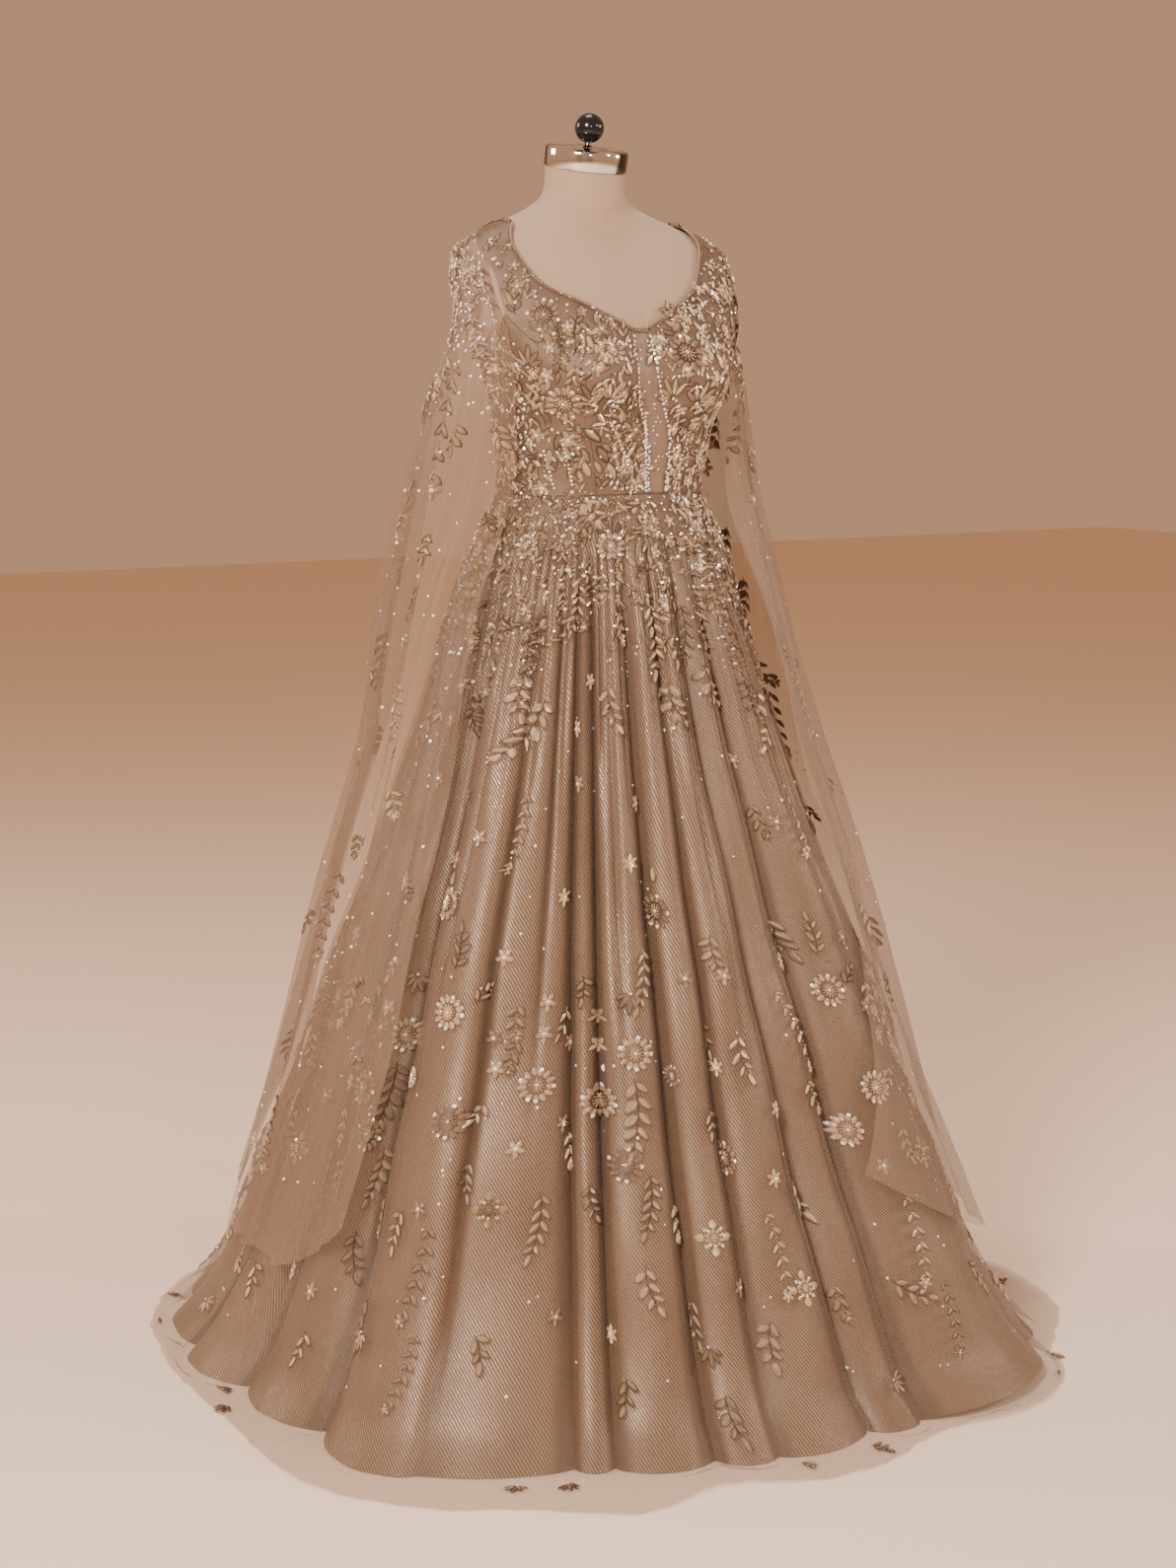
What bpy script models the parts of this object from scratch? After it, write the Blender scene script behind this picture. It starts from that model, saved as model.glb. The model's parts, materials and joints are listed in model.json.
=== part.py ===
"""Embroidered evening gown with cape sleeves, on a limbless dress form and its stand.

The gown is cut as a seamed bodice with a sweetheart neck, a flared skirt of shimmering
cloth, a longer net overlay with raised rosettes, and two net cape sleeves. All sizes are
in metres with +Z up. The front faces -Y, and the origin is on the floor under the pole.
Angles round the body are in degrees from the front, positive towards +X.
"""

import math
from collections import namedtuple
from functools import lru_cache

import bmesh
import bpy
from mathutils import Matrix, Vector

WAIST_HEIGHT = 1.185
FORM_BOTTOM = 0.90
SEAM_GAP = 0.0003
FORM_CLEARANCE = 0.0014
SHOULDER_CLEARANCE = 0.0
BODICE_WALL = 0.0020
SKIRT_WALL = 0.0016
NET_WALL = 0.0012
FORM_EASE = 0.0022
CHEST_CENTRE = 1.33
ARM_CUT = 0.190
ARM_HEIGHT = 1.445
ARM_LEAN = 0.14

BUST_HEIGHT = 1.345
BUST_ANGLE = 37.0
BUST_SPREAD = 24.0
BUST_DROP = 0.052
BUST_RISE = 0.030
FORM_BUST_RISE = 0.023

NECK_TILT = 11.0
NECK_BASE = 1.52
NECK_TOP = 1.622
CAP_RADIUS = 0.0575
CAP_HEIGHT = 0.028
CAP_CENTRE_Y = 0.032
KNOB_RADIUS = 0.020
STEM_RADIUS = 0.0045
STEM_HEIGHT = 0.0065
PLATE_THICKNESS = 0.004
PLATE_SIZE = (0.042, 0.053)
PLATE_CENTRE = (0.004, 1.440)

POLE_RADIUS = 0.0145
BASE_RADIUS = 0.170
BASE_THICKNESS = 0.014

BINDING_RADIUS = 0.0019
BINDING_SHIFT = 0.0024
BINDING_LIFT = 0.0010

ROSETTE_RADIUS = 0.016
ROSETTE_HEIGHT = 0.0035
ROSETTE_FOOT = 0.0010

# The dress form, section by section. squareness is the exponent of the rounded section.
Section = namedtuple("Section", "height half_breadth front back centre_y squareness")
FIGURE = (
    Section(0.900, 0.150, 0.100, 0.115, 0.000, 2.2),
    Section(1.000, 0.170, 0.112, 0.130, 0.000, 2.2),
    Section(1.100, 0.160, 0.108, 0.118, -0.002, 2.2),
    Section(1.185, 0.144, 0.103, 0.103, -0.004, 2.2),
    Section(1.250, 0.149, 0.109, 0.108, -0.010, 2.2),
    Section(1.345, 0.167, 0.117, 0.115, -0.014, 2.3),
    Section(1.380, 0.185, 0.113, 0.114, -0.012, 2.4),
    Section(1.420, 0.198, 0.105, 0.112, -0.008, 2.5),
    Section(1.470, 0.205, 0.086, 0.101, 0.005, 2.5),
    Section(1.505, 0.203, 0.069, 0.086, 0.013, 2.2),
    Section(1.530, 0.176, 0.056, 0.069, 0.019, 2.1),
    Section(1.548, 0.136, 0.050, 0.060, 0.024, 2.0),
    Section(1.563, 0.095, 0.049, 0.056, 0.027, 2.0),
    Section(1.580, 0.064, 0.052, 0.056, 0.030, 2.0),
    Section(1.600, 0.056, 0.055, 0.055, 0.032, 2.0),
    Section(1.660, 0.055, 0.055, 0.055, 0.032, 2.0),
)

# Bodice panels, one row for each level from the waist up. Each row runs from its inner
# edge, nearer the centre front, to its outer edge.
Level = namedtuple("Level", "inner_deg inner_z outer_deg outer_z")
FRONT_PANEL = (
    Level(8.0, 1.185, 36.0, 1.185),
    Level(8.5, 1.225, 38.0, 1.225),
    Level(9.5, 1.265, 41.0, 1.262),
    Level(9.2, 1.305, 45.0, 1.300),
    Level(8.6, 1.345, 50.0, 1.338),
    Level(8.0, 1.378, 59.0, 1.372),
    Level(7.0, 1.401, 68.0, 1.400),
    Level(24.0, 1.420, 74.0, 1.425),
    Level(40.0, 1.438, 75.0, 1.447),
    Level(53.5, 1.455, 76.0, 1.468),
    Level(63.5, 1.481, 79.5, 1.490),
    Level(73.5, 1.513, 84.0, 1.511),
    Level(82.0, 1.5425, 87.5, 1.5235),
    Level(90.0, 1.548, 90.0, 1.530),
)
SIDE_PANEL = (
    Level(36.0, 1.185, 95.0, 1.185),
    Level(38.0, 1.225, 95.0, 1.222),
    Level(41.0, 1.262, 95.0, 1.257),
    Level(45.0, 1.300, 95.0, 1.290),
    Level(50.0, 1.338, 95.0, 1.320),
    Level(59.0, 1.372, 95.0, 1.340),
    Level(68.0, 1.400, 95.0, 1.355),
    Level(74.0, 1.425, 94.0, 1.370),
)
BACK_PANEL = (
    Level(95.0, 1.185, 180.0, 1.185),
    Level(95.0, 1.222, 180.0, 1.222),
    Level(95.0, 1.257, 180.0, 1.260),
    Level(95.0, 1.290, 180.0, 1.298),
    Level(95.0, 1.320, 180.0, 1.335),
    Level(95.0, 1.340, 180.0, 1.370),
    Level(95.0, 1.355, 180.0, 1.400),
    Level(94.0, 1.370, 165.0, 1.409),
    Level(105.0, 1.402, 150.0, 1.429),
    Level(108.0, 1.432, 136.0, 1.457),
    Level(107.0, 1.462, 123.0, 1.487),
    Level(102.0, 1.490, 111.0, 1.513),
    Level(96.0, 1.511, 99.5, 1.534),
    Level(92.5, 1.5235, 94.5, 1.5445),
    Level(90.0, 1.530, 90.0, 1.548),
)
GUSSET_LEVELS = 7

# How far the gown's centre front is turned on the form, towards the wearer's left. The
# inner edges of both front panels follow it.
Turn = namedtuple("Turn", "height deg")
FRONT_TURN = (
    Turn(1.185, 12.0),
    Turn(1.225, 11.0),
    Turn(1.265, 7.0),
    Turn(1.305, -1.0),
    Turn(1.345, -6.0),
    Turn(1.401, -7.0),
    Turn(1.450, -5.5),
    Turn(1.500, -2.5),
    Turn(1.540, 0.0),
    Turn(1.600, 0.0),
)
FRONT_COLUMNS = 8
SIDE_COLUMNS = 6
BACK_COLUMNS = 9
ARMHOLE_SAG = 0.014
STRAP_ROWS = 4

# The skirt's smooth base, from the waist to the floor.
Ring = namedtuple("Ring", "height side front back")
SKIRT_BASE = (
    Ring(0.000, 0.580, 0.585, 0.590),
    Ring(0.050, 0.538, 0.540, 0.550),
    Ring(0.250, 0.450, 0.448, 0.460),
    Ring(0.550, 0.347, 0.337, 0.350),
    Ring(0.830, 0.253, 0.236, 0.248),
    Ring(1.020, 0.201, 0.178, 0.186),
    Ring(1.120, 0.172, 0.141, 0.145),
    Ring(1.185, 0.1454, 0.1084, 0.1004),
)
FOLDS_START = 1.125
FOLD_GROWTH = 0.60

# One row for each fold: where its valley lies at the hem and at the waist, how far the
# valley stands out from the base at the hem, how high the fold arches over the next
# stretch, and how far its hem is lifted off the floor.
Fold = namedtuple("Fold", "hem_deg waist_deg valley arch lift")
FOLDS = (
    Fold(-92, -94, -0.026, 0.028, 0.000),
    Fold(-71, -75, -0.016, 0.044, 0.000),
    Fold(-54, -56, 0.054, 0.008, 0.000),
    Fold(-36, -43, -0.018, 0.016, 0.000),
    Fold(-31, -36, -0.022, 0.030, 0.000),
    Fold(-18, -22, -0.036, 0.024, 0.000),
    Fold(-10, -8, -0.020, 0.030, 0.000),
    Fold(5, 5, -0.032, 0.022, 0.000),
    Fold(13, 19, -0.020, 0.070, 0.014),
    Fold(45, 38, -0.006, 0.028, 0.000),
    Fold(61, 55, -0.018, 0.032, 0.000),
    Fold(78, 73, -0.014, 0.030, 0.000),
    Fold(95, 91, -0.022, 0.036, 0.000),
    Fold(114, 110, -0.018, 0.034, 0.000),
    Fold(133, 130, -0.024, 0.038, 0.000),
    Fold(152, 150, -0.016, 0.032, 0.000),
    Fold(171, 170, -0.026, 0.040, 0.000),
    Fold(190, 189, -0.018, 0.034, 0.000),
    Fold(209, 208, -0.024, 0.038, 0.000),
    Fold(229, 228, -0.018, 0.034, 0.000),
    Fold(249, 247, -0.020, 0.032, 0.000),
)
DEGREES_PER_COLUMN = 4.3
FEWEST_COLUMNS = 3
MOST_COLUMNS = 7
SKIRT_ROWS = (1.185, 1.135, 1.050, 0.930, 0.740, 0.500, 0.260, 0.080, 0.000)
GORES = (("back_right", -171, -92), ("front_right", -92, 5), ("front_left", 5, 95), ("back_left", 95, 189))

# The net overlay: rows above the floor keep the skirt's heights. turn_deg leans the wall
# from upright to flat, gap is the room left over the skirt and spread the share of the
# way out to the net's edge on the floor.
NetRow = namedtuple("NetRow", "height gap turn_deg spread")
NET_ROWS = (
    NetRow(1.185, 0.0007, 0, 0.0),
    NetRow(1.135, 0.0022, 0, 0.0),
    NetRow(1.050, 0.0040, 0, 0.0),
    NetRow(0.930, 0.0050, 0, 0.0),
    NetRow(0.740, 0.0060, 0, 0.0),
    NetRow(0.500, 0.0070, 0, 0.0),
    NetRow(0.380, 0.0075, 0, 0.0),
    NetRow(0.260, 0.0080, 0, 0.0),
    NetRow(0.080, 0.0100, 20, 0.0),
    NetRow(0.0, 0.0140, 65, 0.10),
    NetRow(0.0, 0.0140, 88, 1.0),
)
NET_FOLD_SHARE = 0.86

# The net's edge on the floor, as angle and distance from the origin.
Edge = namedtuple("Edge", "deg radius")
NET_EDGE = (
    Edge(-171, 0.655),
    Edge(-150, 0.630),
    Edge(-134, 0.640),
    Edge(-114, 0.622),
    Edge(-92, 0.622),
    Edge(-79, 0.655),
    Edge(-62, 0.722),
    Edge(-50, 0.728),
    Edge(-40, 0.700),
    Edge(-30, 0.705),
    Edge(-18, 0.645),
    Edge(-7, 0.672),
    Edge(12, 0.640),
    Edge(27, 0.682),
    Edge(45, 0.640),
    Edge(65, 0.660),
    Edge(92, 0.645),
    Edge(120, 0.660),
    Edge(150, 0.640),
    Edge(189, 0.655),
)

# Cape sleeves. Each row has the heights of its front edge, its middle and its back edge,
# the angles of the two edges, and how far front edge, middle and back edge stand from
# the axis.
Drop = namedtuple("Drop", "front_z middle_z back_z front_deg back_deg front middle back")
CAPE_RIGHT = (
    Drop(1.405, 1.405, 1.405, 70, 116, 0.190, 0.214, 0.184),
    Drop(1.330, 1.330, 1.330, 69, 121, 0.187, 0.236, 0.198),
    Drop(1.200, 1.200, 1.200, 73, 123, 0.182, 0.268, 0.225),
    Drop(1.040, 1.040, 1.040, 77, 127, 0.222, 0.300, 0.262),
    Drop(0.860, 0.850, 0.850, 76, 129, 0.276, 0.330, 0.300),
    Drop(0.660, 0.640, 0.650, 72, 131, 0.345, 0.385, 0.365),
    Drop(0.450, 0.410, 0.430, 71, 131, 0.420, 0.440, 0.432),
    Drop(0.255, 0.170, 0.220, 73, 129, 0.490, 0.505, 0.498),
)
CAPE_LEFT = (
    Drop(1.405, 1.405, 1.405, 70, 116, 0.190, 0.214, 0.184),
    Drop(1.330, 1.330, 1.330, 68, 121, 0.187, 0.236, 0.198),
    Drop(1.200, 1.200, 1.200, 66, 123, 0.182, 0.262, 0.222),
    Drop(1.040, 1.040, 1.040, 60, 126, 0.222, 0.296, 0.262),
    Drop(0.860, 0.850, 0.850, 50, 128, 0.276, 0.330, 0.300),
    Drop(0.660, 0.640, 0.650, 37, 129, 0.345, 0.385, 0.365),
    Drop(0.470, 0.410, 0.430, 24, 129, 0.418, 0.440, 0.432),
    Drop(0.310, 0.170, 0.220, 13, 127, 0.470, 0.505, 0.498),
)
CAPE_SHOULDER = (0.14, 0.50)
CAPE_COLUMNS = 24
CAPE_WAVES = 4.5
CAPE_WAVE_DEPTH = 0.010
CAPE_CORNER = 0.30
CAPE_OVER_BODICE = 0.0080
CAPE_OVER_PLATE = 0.0090
CAPE_OVER_NET = 0.008
CAPE_BRIDGE_DEG = 9.0

# Raised rosettes on the net, on the visible front and plainly continued behind.
Rosette = namedtuple("Rosette", "deg height")
NET_ROSETTES = (
    Rosette(-66, 0.47), Rosette(-64, 0.31), Rosette(-46, 0.37), Rosette(-26, 0.62),
    Rosette(-27, 0.43), Rosette(-33, 0.33), Rosette(-25, 0.27), Rosette(-5, 0.30),
    Rosette(28, 0.33), Rosette(70, 0.45), Rosette(86, 0.30), Rosette(104, 0.42),
    Rosette(123, 0.31), Rosette(143, 0.45), Rosette(161, 0.32), Rosette(180, 0.44),
    Rosette(199, 0.31), Rosette(218, 0.43), Rosette(238, 0.31), Rosette(256, 0.42),
)
BODICE_ROSETTES = {
    "left": (Rosette(22, 1.372), Rosette(54, 1.398), Rosette(30, 1.262)),
    "right": (Rosette(29, 1.374), Rosette(60, 1.418), Rosette(27, 1.262)),
}


class Profile:
    """A smooth curve through a table's points that never overshoots between two of them."""

    def __init__(self, rows, key, value):
        points = sorted((getattr(row, key), getattr(row, value)) for row in rows)
        self.at = [float(point[0]) for point in points]
        self.values = [float(point[1]) for point in points]
        steps = [b - a for a, b in zip(self.at, self.at[1:])]
        rises = [(b - a) / step for a, b, step in zip(self.values, self.values[1:], steps)]
        inner = [0.0 if a * b <= 0 else 2 * a * b / (a + b) for a, b in zip(rises, rises[1:])]
        self.slopes = [rises[0], *inner, rises[-1]]

    def __call__(self, position):
        position = min(max(position, self.at[0]), self.at[-1])
        index = max(i for i, start in enumerate(self.at[:-1]) if position >= start)
        step = self.at[index + 1] - self.at[index]
        t = (position - self.at[index]) / step
        rise = self.values[index + 1] - self.values[index]
        start, end = self.slopes[index] * step, self.slopes[index + 1] * step
        return (
            self.values[index]
            + t * start
            + t * t * (3 * rise - 2 * start - end)
            + t * t * t * (start + end - 2 * rise)
        )


FIGURE_PROFILES = tuple(Profile(FIGURE, "height", field) for field in Section._fields[1:])
SKIRT_PROFILES = tuple(Profile(SKIRT_BASE, "height", field) for field in Ring._fields[1:])
NET_EDGE_PROFILE = Profile(NET_EDGE, "deg", "radius")


@lru_cache(maxsize=None)
def figure_section(height):
    """Half breadth, front, back, centre and squareness of the form at a height."""
    return tuple(profile(height) for profile in FIGURE_PROFILES)


def rounded_radius(angle, side, depth, squareness):
    """Distance from the centre to a rounded section, in the direction of an angle in radians."""
    across = abs(math.sin(angle)) / side
    along = abs(math.cos(angle)) / depth
    return (across**squareness + along**squareness) ** (-1 / squareness)


def figure_radius(angle, height, rise=BUST_RISE):
    """Distance from the figure's centre line to its surface, cups included."""
    side, front, back, _, squareness = figure_section(height)
    depth = front if math.cos(angle) > 0 else back
    turn = (math.degrees(angle) + 180) % 360 - 180
    drop = (height - BUST_HEIGHT) / BUST_DROP
    cup = math.exp(-(((abs(turn) - BUST_ANGLE) / BUST_SPREAD) ** 2) - drop * drop)
    return rounded_radius(angle, side, depth, squareness) + rise * cup


def arm_plane(height):
    """How far from the middle the form's arms are cut off at a height."""
    return ARM_CUT + ARM_LEAN * (height - ARM_HEIGHT)


def outside_figure(point):
    """How far a point lies outside the figure, level with it. Negative inside."""
    centre = figure_section(point.z)[3]
    angle = math.atan2(point.x, centre - point.y)
    level = math.hypot(point.x, point.y - centre) - figure_radius(angle, point.z)
    return max(level, abs(point.x) - arm_plane(point.z))


def on_figure(degrees, height):
    """The figure's rounded surface at an angle and a height."""
    angle = math.radians(degrees)
    radius = figure_radius(angle, height)
    centre = figure_section(height)[3]
    return Vector((radius * math.sin(angle), centre - radius * math.cos(angle), height))


def surface_slope(point):
    """The direction straight out of the figure near a point."""
    step = 0.001
    return Vector(
        outside_figure(point + side * step) - outside_figure(point - side * step)
        for side in (Vector((1, 0, 0)), Vector((0, 1, 0)), Vector((0, 0, 1)))
    ).normalized()


def settle(guess, offset):
    """The point over the figure in a guess's direction, that far off the surface."""
    level = min(guess.z, CHEST_CENTRE)
    centre = Vector((0, figure_section(level)[3], level))
    ray = guess - centre
    near, far = 0.3, 2.5
    for _ in range(30):
        middle = (near + far) / 2
        if outside_figure(centre + ray * middle) > 0:
            far = middle
        else:
            near = middle
    surface = centre + ray * near
    return surface + surface_slope(surface) * offset


def flip(point):
    """The point on the other side of the body."""
    return Vector((-point.x, point.y, point.z))


def finish(name, colour, roughness, metallic, smooth_deg=35):
    """The material of an object and its smooth shading."""
    obj = bpy.data.objects[name]
    material = bpy.data.materials.get(colour[0]) or bpy.data.materials.new(colour[0])
    material.use_nodes = True
    shader = material.node_tree.nodes["Principled BSDF"]
    shader.inputs["Base Color"].default_value = (*colour[1], 1)
    shader.inputs["Roughness"].default_value = roughness
    shader.inputs["Metallic"].default_value = metallic
    obj.data.materials.append(material)
    if obj.type == "MESH":
        obj.data.shade_smooth()
        obj.data.set_sharp_from_angle(angle=math.radians(smooth_deg))
    return obj


def add_object(name, mesh, collection):
    """A new object in the gown's collection."""
    obj = bpy.data.objects.new(name, mesh)
    collection.objects.link(obj)
    return obj


def cloth_wall(name, inner, outer, collection, rosettes=()):
    """A closed wall between two grids of points, with its edge turned round all four sides.

    Neighbouring panels share the direction that their walls grow in, so that their seam
    stays parallel, in a valley too. rosettes are points near which the outer side rises.
    """
    rows, columns = len(inner), len(inner[0])
    shell = bmesh.new()
    inside = [[shell.verts.new(point) for point in row] for row in inner]
    outside = [[shell.verts.new(point) for point in row] for row in outer]
    faces = []
    for i in range(rows - 1):
        for j in range(columns - 1):
            corners = ((i, j), (i, j + 1), (i + 1, j + 1), (i + 1, j))
            faces.append(shell.faces.new([outside[a][b] for a, b in corners]))
            shell.faces.new([inside[a][b] for a, b in (corners[0], *reversed(corners[1:]))])
    rim = [(0, j) for j in range(columns)]
    rim += [(i, columns - 1) for i in range(1, rows)]
    rim += [(rows - 1, j) for j in reversed(range(columns - 1))]
    rim += [(i, 0) for i in reversed(range(1, rows - 1))]
    for (a, b), (c, d) in zip(rim, rim[1:] + rim[:1]):
        shell.faces.new([inside[a][b], inside[c][d], outside[c][d], outside[a][b]])
    for centre in rosettes:
        raise_rosette(shell, faces, centre)
    bmesh.ops.recalc_face_normals(shell, faces=shell.faces)
    bmesh.ops.triangulate(shell, faces=shell.faces, quad_method="FIXED")
    mesh = bpy.data.meshes.new(name)
    shell.to_mesh(mesh)
    shell.free()
    return add_object(name, mesh, collection)


def to_edge(point, edge):
    """How far a point lies from the line of an edge."""
    start, end = (vert.co for vert in edge.verts)
    along = (end - start).normalized()
    return ((point - start) - along * (point - start).dot(along)).length


def raise_rosette(shell, faces, centre):
    """Turns the outer face nearest a point into a round raised rosette."""
    face = min(faces, key=lambda f: (f.calc_center_median() - centre).length)
    faces.remove(face)
    face.normal_update()
    middle, normal = face.calc_center_median(), face.normal.copy()
    if normal.dot(middle - Vector((0, 0, middle.z))) < 0:
        normal.negate()
    radius = min(ROSETTE_RADIUS, 0.9 * min(to_edge(middle, edge) for edge in face.edges))
    up = (Vector((0, 0, 1)) - normal * normal.z).normalized()
    side = up.cross(normal)

    def turn(vert):
        return math.atan2((vert.co - middle).dot(up), (vert.co - middle).dot(side)) % math.tau

    corners = sorted(face.verts, key=turn)
    shell.faces.remove(face)
    turns = [math.tau * (k + 0.5) / 8 for k in range(8)]
    sizes = ((radius, ROSETTE_FOOT), (radius * 0.84, ROSETTE_HEIGHT))
    low, high = (
        [
            shell.verts.new(middle + size * (side * math.cos(a) + up * math.sin(a)) + normal * rise)
            for a in turns
        ]
        for size, rise in sizes
    )
    top = shell.verts.new(middle + normal * ROSETTE_HEIGHT * 1.25)
    for k in range(8):
        after = (k + 1) % 8
        shell.faces.new([low[k], low[after], high[after], high[k]])
        shell.faces.new([high[k], high[after], top])
    for k in range(4):
        first, second, third = low[2 * k], low[2 * k + 1], low[(2 * k + 2) % 8]
        shell.faces.new([corners[k], second, first])
        shell.faces.new([corners[k], corners[(k + 1) % 4], third, second])


def panel_grid(levels, columns, sag=0.0, inner_seam=True, outer_seam=True):
    """Grids of a bodice panel's inside and outside, for the wearer's left."""
    inside, outside = [], []
    last = len(levels) - 1
    for index, level in enumerate(levels):
        start, end = on_figure(level.inner_deg, level.inner_z), on_figure(level.outer_deg, level.outer_z)
        across = (end - start).normalized()
        start += across * (SEAM_GAP / 2 if inner_seam else 0)
        end -= across * (SEAM_GAP / 2 if outer_seam else 0)
        row_in, row_out = [], []
        clearance = SHOULDER_CLEARANCE if level.inner_deg == 90 else FORM_CLEARANCE
        for column in range(columns + 1):
            t = column / columns
            guess = panel_guess(level, start, end, t)
            guess.z -= sag * (index / last) ** 4 * 4 * t * (1 - t)
            row_in.append(settle(guess, clearance))
            row_out.append(settle(guess, clearance + BODICE_WALL))
        inside.append(row_in)
        outside.append(row_out)
    return inside, outside


def panel_guess(level, start, end, t):
    """A point part of the way along a level, bulged so that its ray spreads evenly."""
    degrees = level.inner_deg + (level.outer_deg - level.inner_deg) * t
    height = level.inner_z + (level.outer_z - level.inner_z) * t
    if t in (0, 1):
        return (start, end)[int(t)].copy()
    return on_figure(degrees, height)


def front_panel(side):
    """The front panel's levels, with the turn of the centre front taken up on one side."""
    centre = Profile(FRONT_TURN, "height", "deg")
    return [level._replace(inner_deg=level.inner_deg + side * centre(level.inner_z)) for level in FRONT_PANEL]


def build_gusset(collection, satin):
    """The centre front's gusset, between the two front panels."""
    gusset_in, gusset_out = [], []
    middle = Profile(FRONT_TURN, "height", "deg")
    for right, left in list(zip(front_panel(-1), front_panel(1)))[:GUSSET_LEVELS]:
        step = Vector((SEAM_GAP / 2, 0, 0))
        points = [
            flip(on_figure(right.inner_deg, right.inner_z) - step),
            on_figure(middle(left.inner_z), left.inner_z),
            on_figure(left.inner_deg, left.inner_z) - step,
        ]
        gusset_in.append([settle(point, FORM_CLEARANCE) for point in points])
        gusset_out.append([settle(point, FORM_CLEARANCE + BODICE_WALL) for point in points])
    cloth_wall("bodice_gusset", gusset_in, gusset_out, collection)
    finish("bodice_gusset", *satin)


def build_bodice(collection, satin):
    """The gusset, two fronts, two sides and two backs."""
    build_gusset(collection, satin)
    panels = (
        ("front", (front_panel(1), front_panel(-1)), FRONT_COLUMNS, 0.0),
        ("side", (SIDE_PANEL, SIDE_PANEL), SIDE_COLUMNS, ARMHOLE_SAG),
        ("back", (BACK_PANEL, BACK_PANEL), BACK_COLUMNS, 0.0),
    )
    for piece, both, columns, sag in panels:
        for hand, levels in zip(("left", "right"), both):
            grids = panel_grid(levels, columns, sag)
            if piece != "side":
                for grid in grids:
                    grid[-1] = [point + shoulder_step(piece) for point in grid[-1]]
            spots = [on_figure(r.deg, r.height) for r in BODICE_ROSETTES[hand]] if piece == "front" else []
            if hand == "right":
                grids = [[[flip(point) for point in row] for row in grid] for grid in grids]
                spots = [flip(point) for point in spots]
            name = f"bodice_{piece}_{hand}"
            cloth_wall(name, *grids, collection, spots)
            finish(name, *satin)


def shoulder_step(piece):
    """Half the seam gap, forwards for the front panel and backwards for the back one."""
    return Vector((0, -SEAM_GAP / 2 if piece == "front" else SEAM_GAP / 2, 0))


def build_binding(collection, satin):
    """The corded binding that runs round the whole neckline, just inside its edge."""
    back = [(level.outer_deg, level.outer_z) for level in reversed(BACK_PANEL[GUSSET_LEVELS - 1 : -1])]
    halves = []
    for side in (1, -1):
        front = [(level.inner_deg, level.inner_z) for level in front_panel(side)[GUSSET_LEVELS - 1 :]]
        half = []
        for place in [*front, *back]:
            clearance = SHOULDER_CLEARANCE if place[0] == 90 else FORM_CLEARANCE
            half.append(settle(on_figure(*place), clearance + BINDING_RADIUS + BINDING_LIFT))
        halves.append(half)
    loop = halves[0] + [flip(point) for point in reversed(halves[1][:-1])]
    edge = [
        point.lerp(after, share)
        for point, after in zip(loop, loop[1:] + loop[:1])
        for share in (0.0, 0.5)
    ]
    neck = Vector((0, 0.01, 1.56))
    path = []
    for before, point, after in zip(edge[-1:] + edge[:-1], edge, edge[1:] + edge[:1]):
        inward = (after - before).cross(surface_slope(point)).normalized() * BINDING_SHIFT
        path.append(point + (inward if inward.dot(neck - point) > 0 else -inward))
    curve = bpy.data.curves.new("neck_binding", "CURVE")
    curve.dimensions = "3D"
    curve.bevel_depth = BINDING_RADIUS
    curve.bevel_resolution = 1
    spline = curve.splines.new("POLY")
    spline.points.add(len(path) - 1)
    for target, point in zip(spline.points, path):
        target.co = (*point, 1)
    spline.use_cyclic_u = True
    add_object("neck_binding", curve, collection)
    finish("neck_binding", *satin)


def fold_columns():
    """(fold, next fold, share of the way across) for each column round the whole skirt."""
    columns = []
    turned = FOLDS[0]._replace(hem_deg=FOLDS[0].hem_deg + 360, waist_deg=FOLDS[0].waist_deg + 360)
    for fold, after in zip(FOLDS, FOLDS[1:] + (turned,)):
        width = after.hem_deg - fold.hem_deg
        count = min(max(round(width / DEGREES_PER_COLUMN), FEWEST_COLUMNS), MOST_COLUMNS)
        columns += [(fold, after, k / count) for k in range(count)]
    return columns


def fold_growth(height):
    """How much of its depth at the hem a fold has at a height."""
    return max(0.0, (FOLDS_START - height) / FOLDS_START) ** FOLD_GROWTH


def base_radius(angle, height):
    """The skirt's smooth base, without folds."""
    side, front, back = (profile(height) for profile in SKIRT_PROFILES)
    return rounded_radius(angle, side, front if math.cos(angle) > 0 else back, 2.1)


def skirt_place(column, height):
    """Angle, distance from the axis and height of the skirt's inside at a column."""
    fold, after, t = column
    growth = fold_growth(height)
    down = 1 - height / WAIST_HEIGHT
    hem = fold.hem_deg + (after.hem_deg - fold.hem_deg) * t
    waist = fold.waist_deg + (after.waist_deg - fold.waist_deg) * t
    angle = math.radians(waist + (hem - waist) * down)
    arch = (4 * t * (1 - t)) ** 0.75
    out = fold.valley + (after.valley - fold.valley) * t + fold.arch * arch
    lift = fold.lift * arch * max(0.0, 1 - height / 0.25)
    return angle, base_radius(angle, height) + out * growth, height + lift


def round_body(angle, radius, height):
    """A point at an angle, a distance and a height round the axis."""
    return Vector((radius * math.sin(angle), -radius * math.cos(angle), height))


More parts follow.
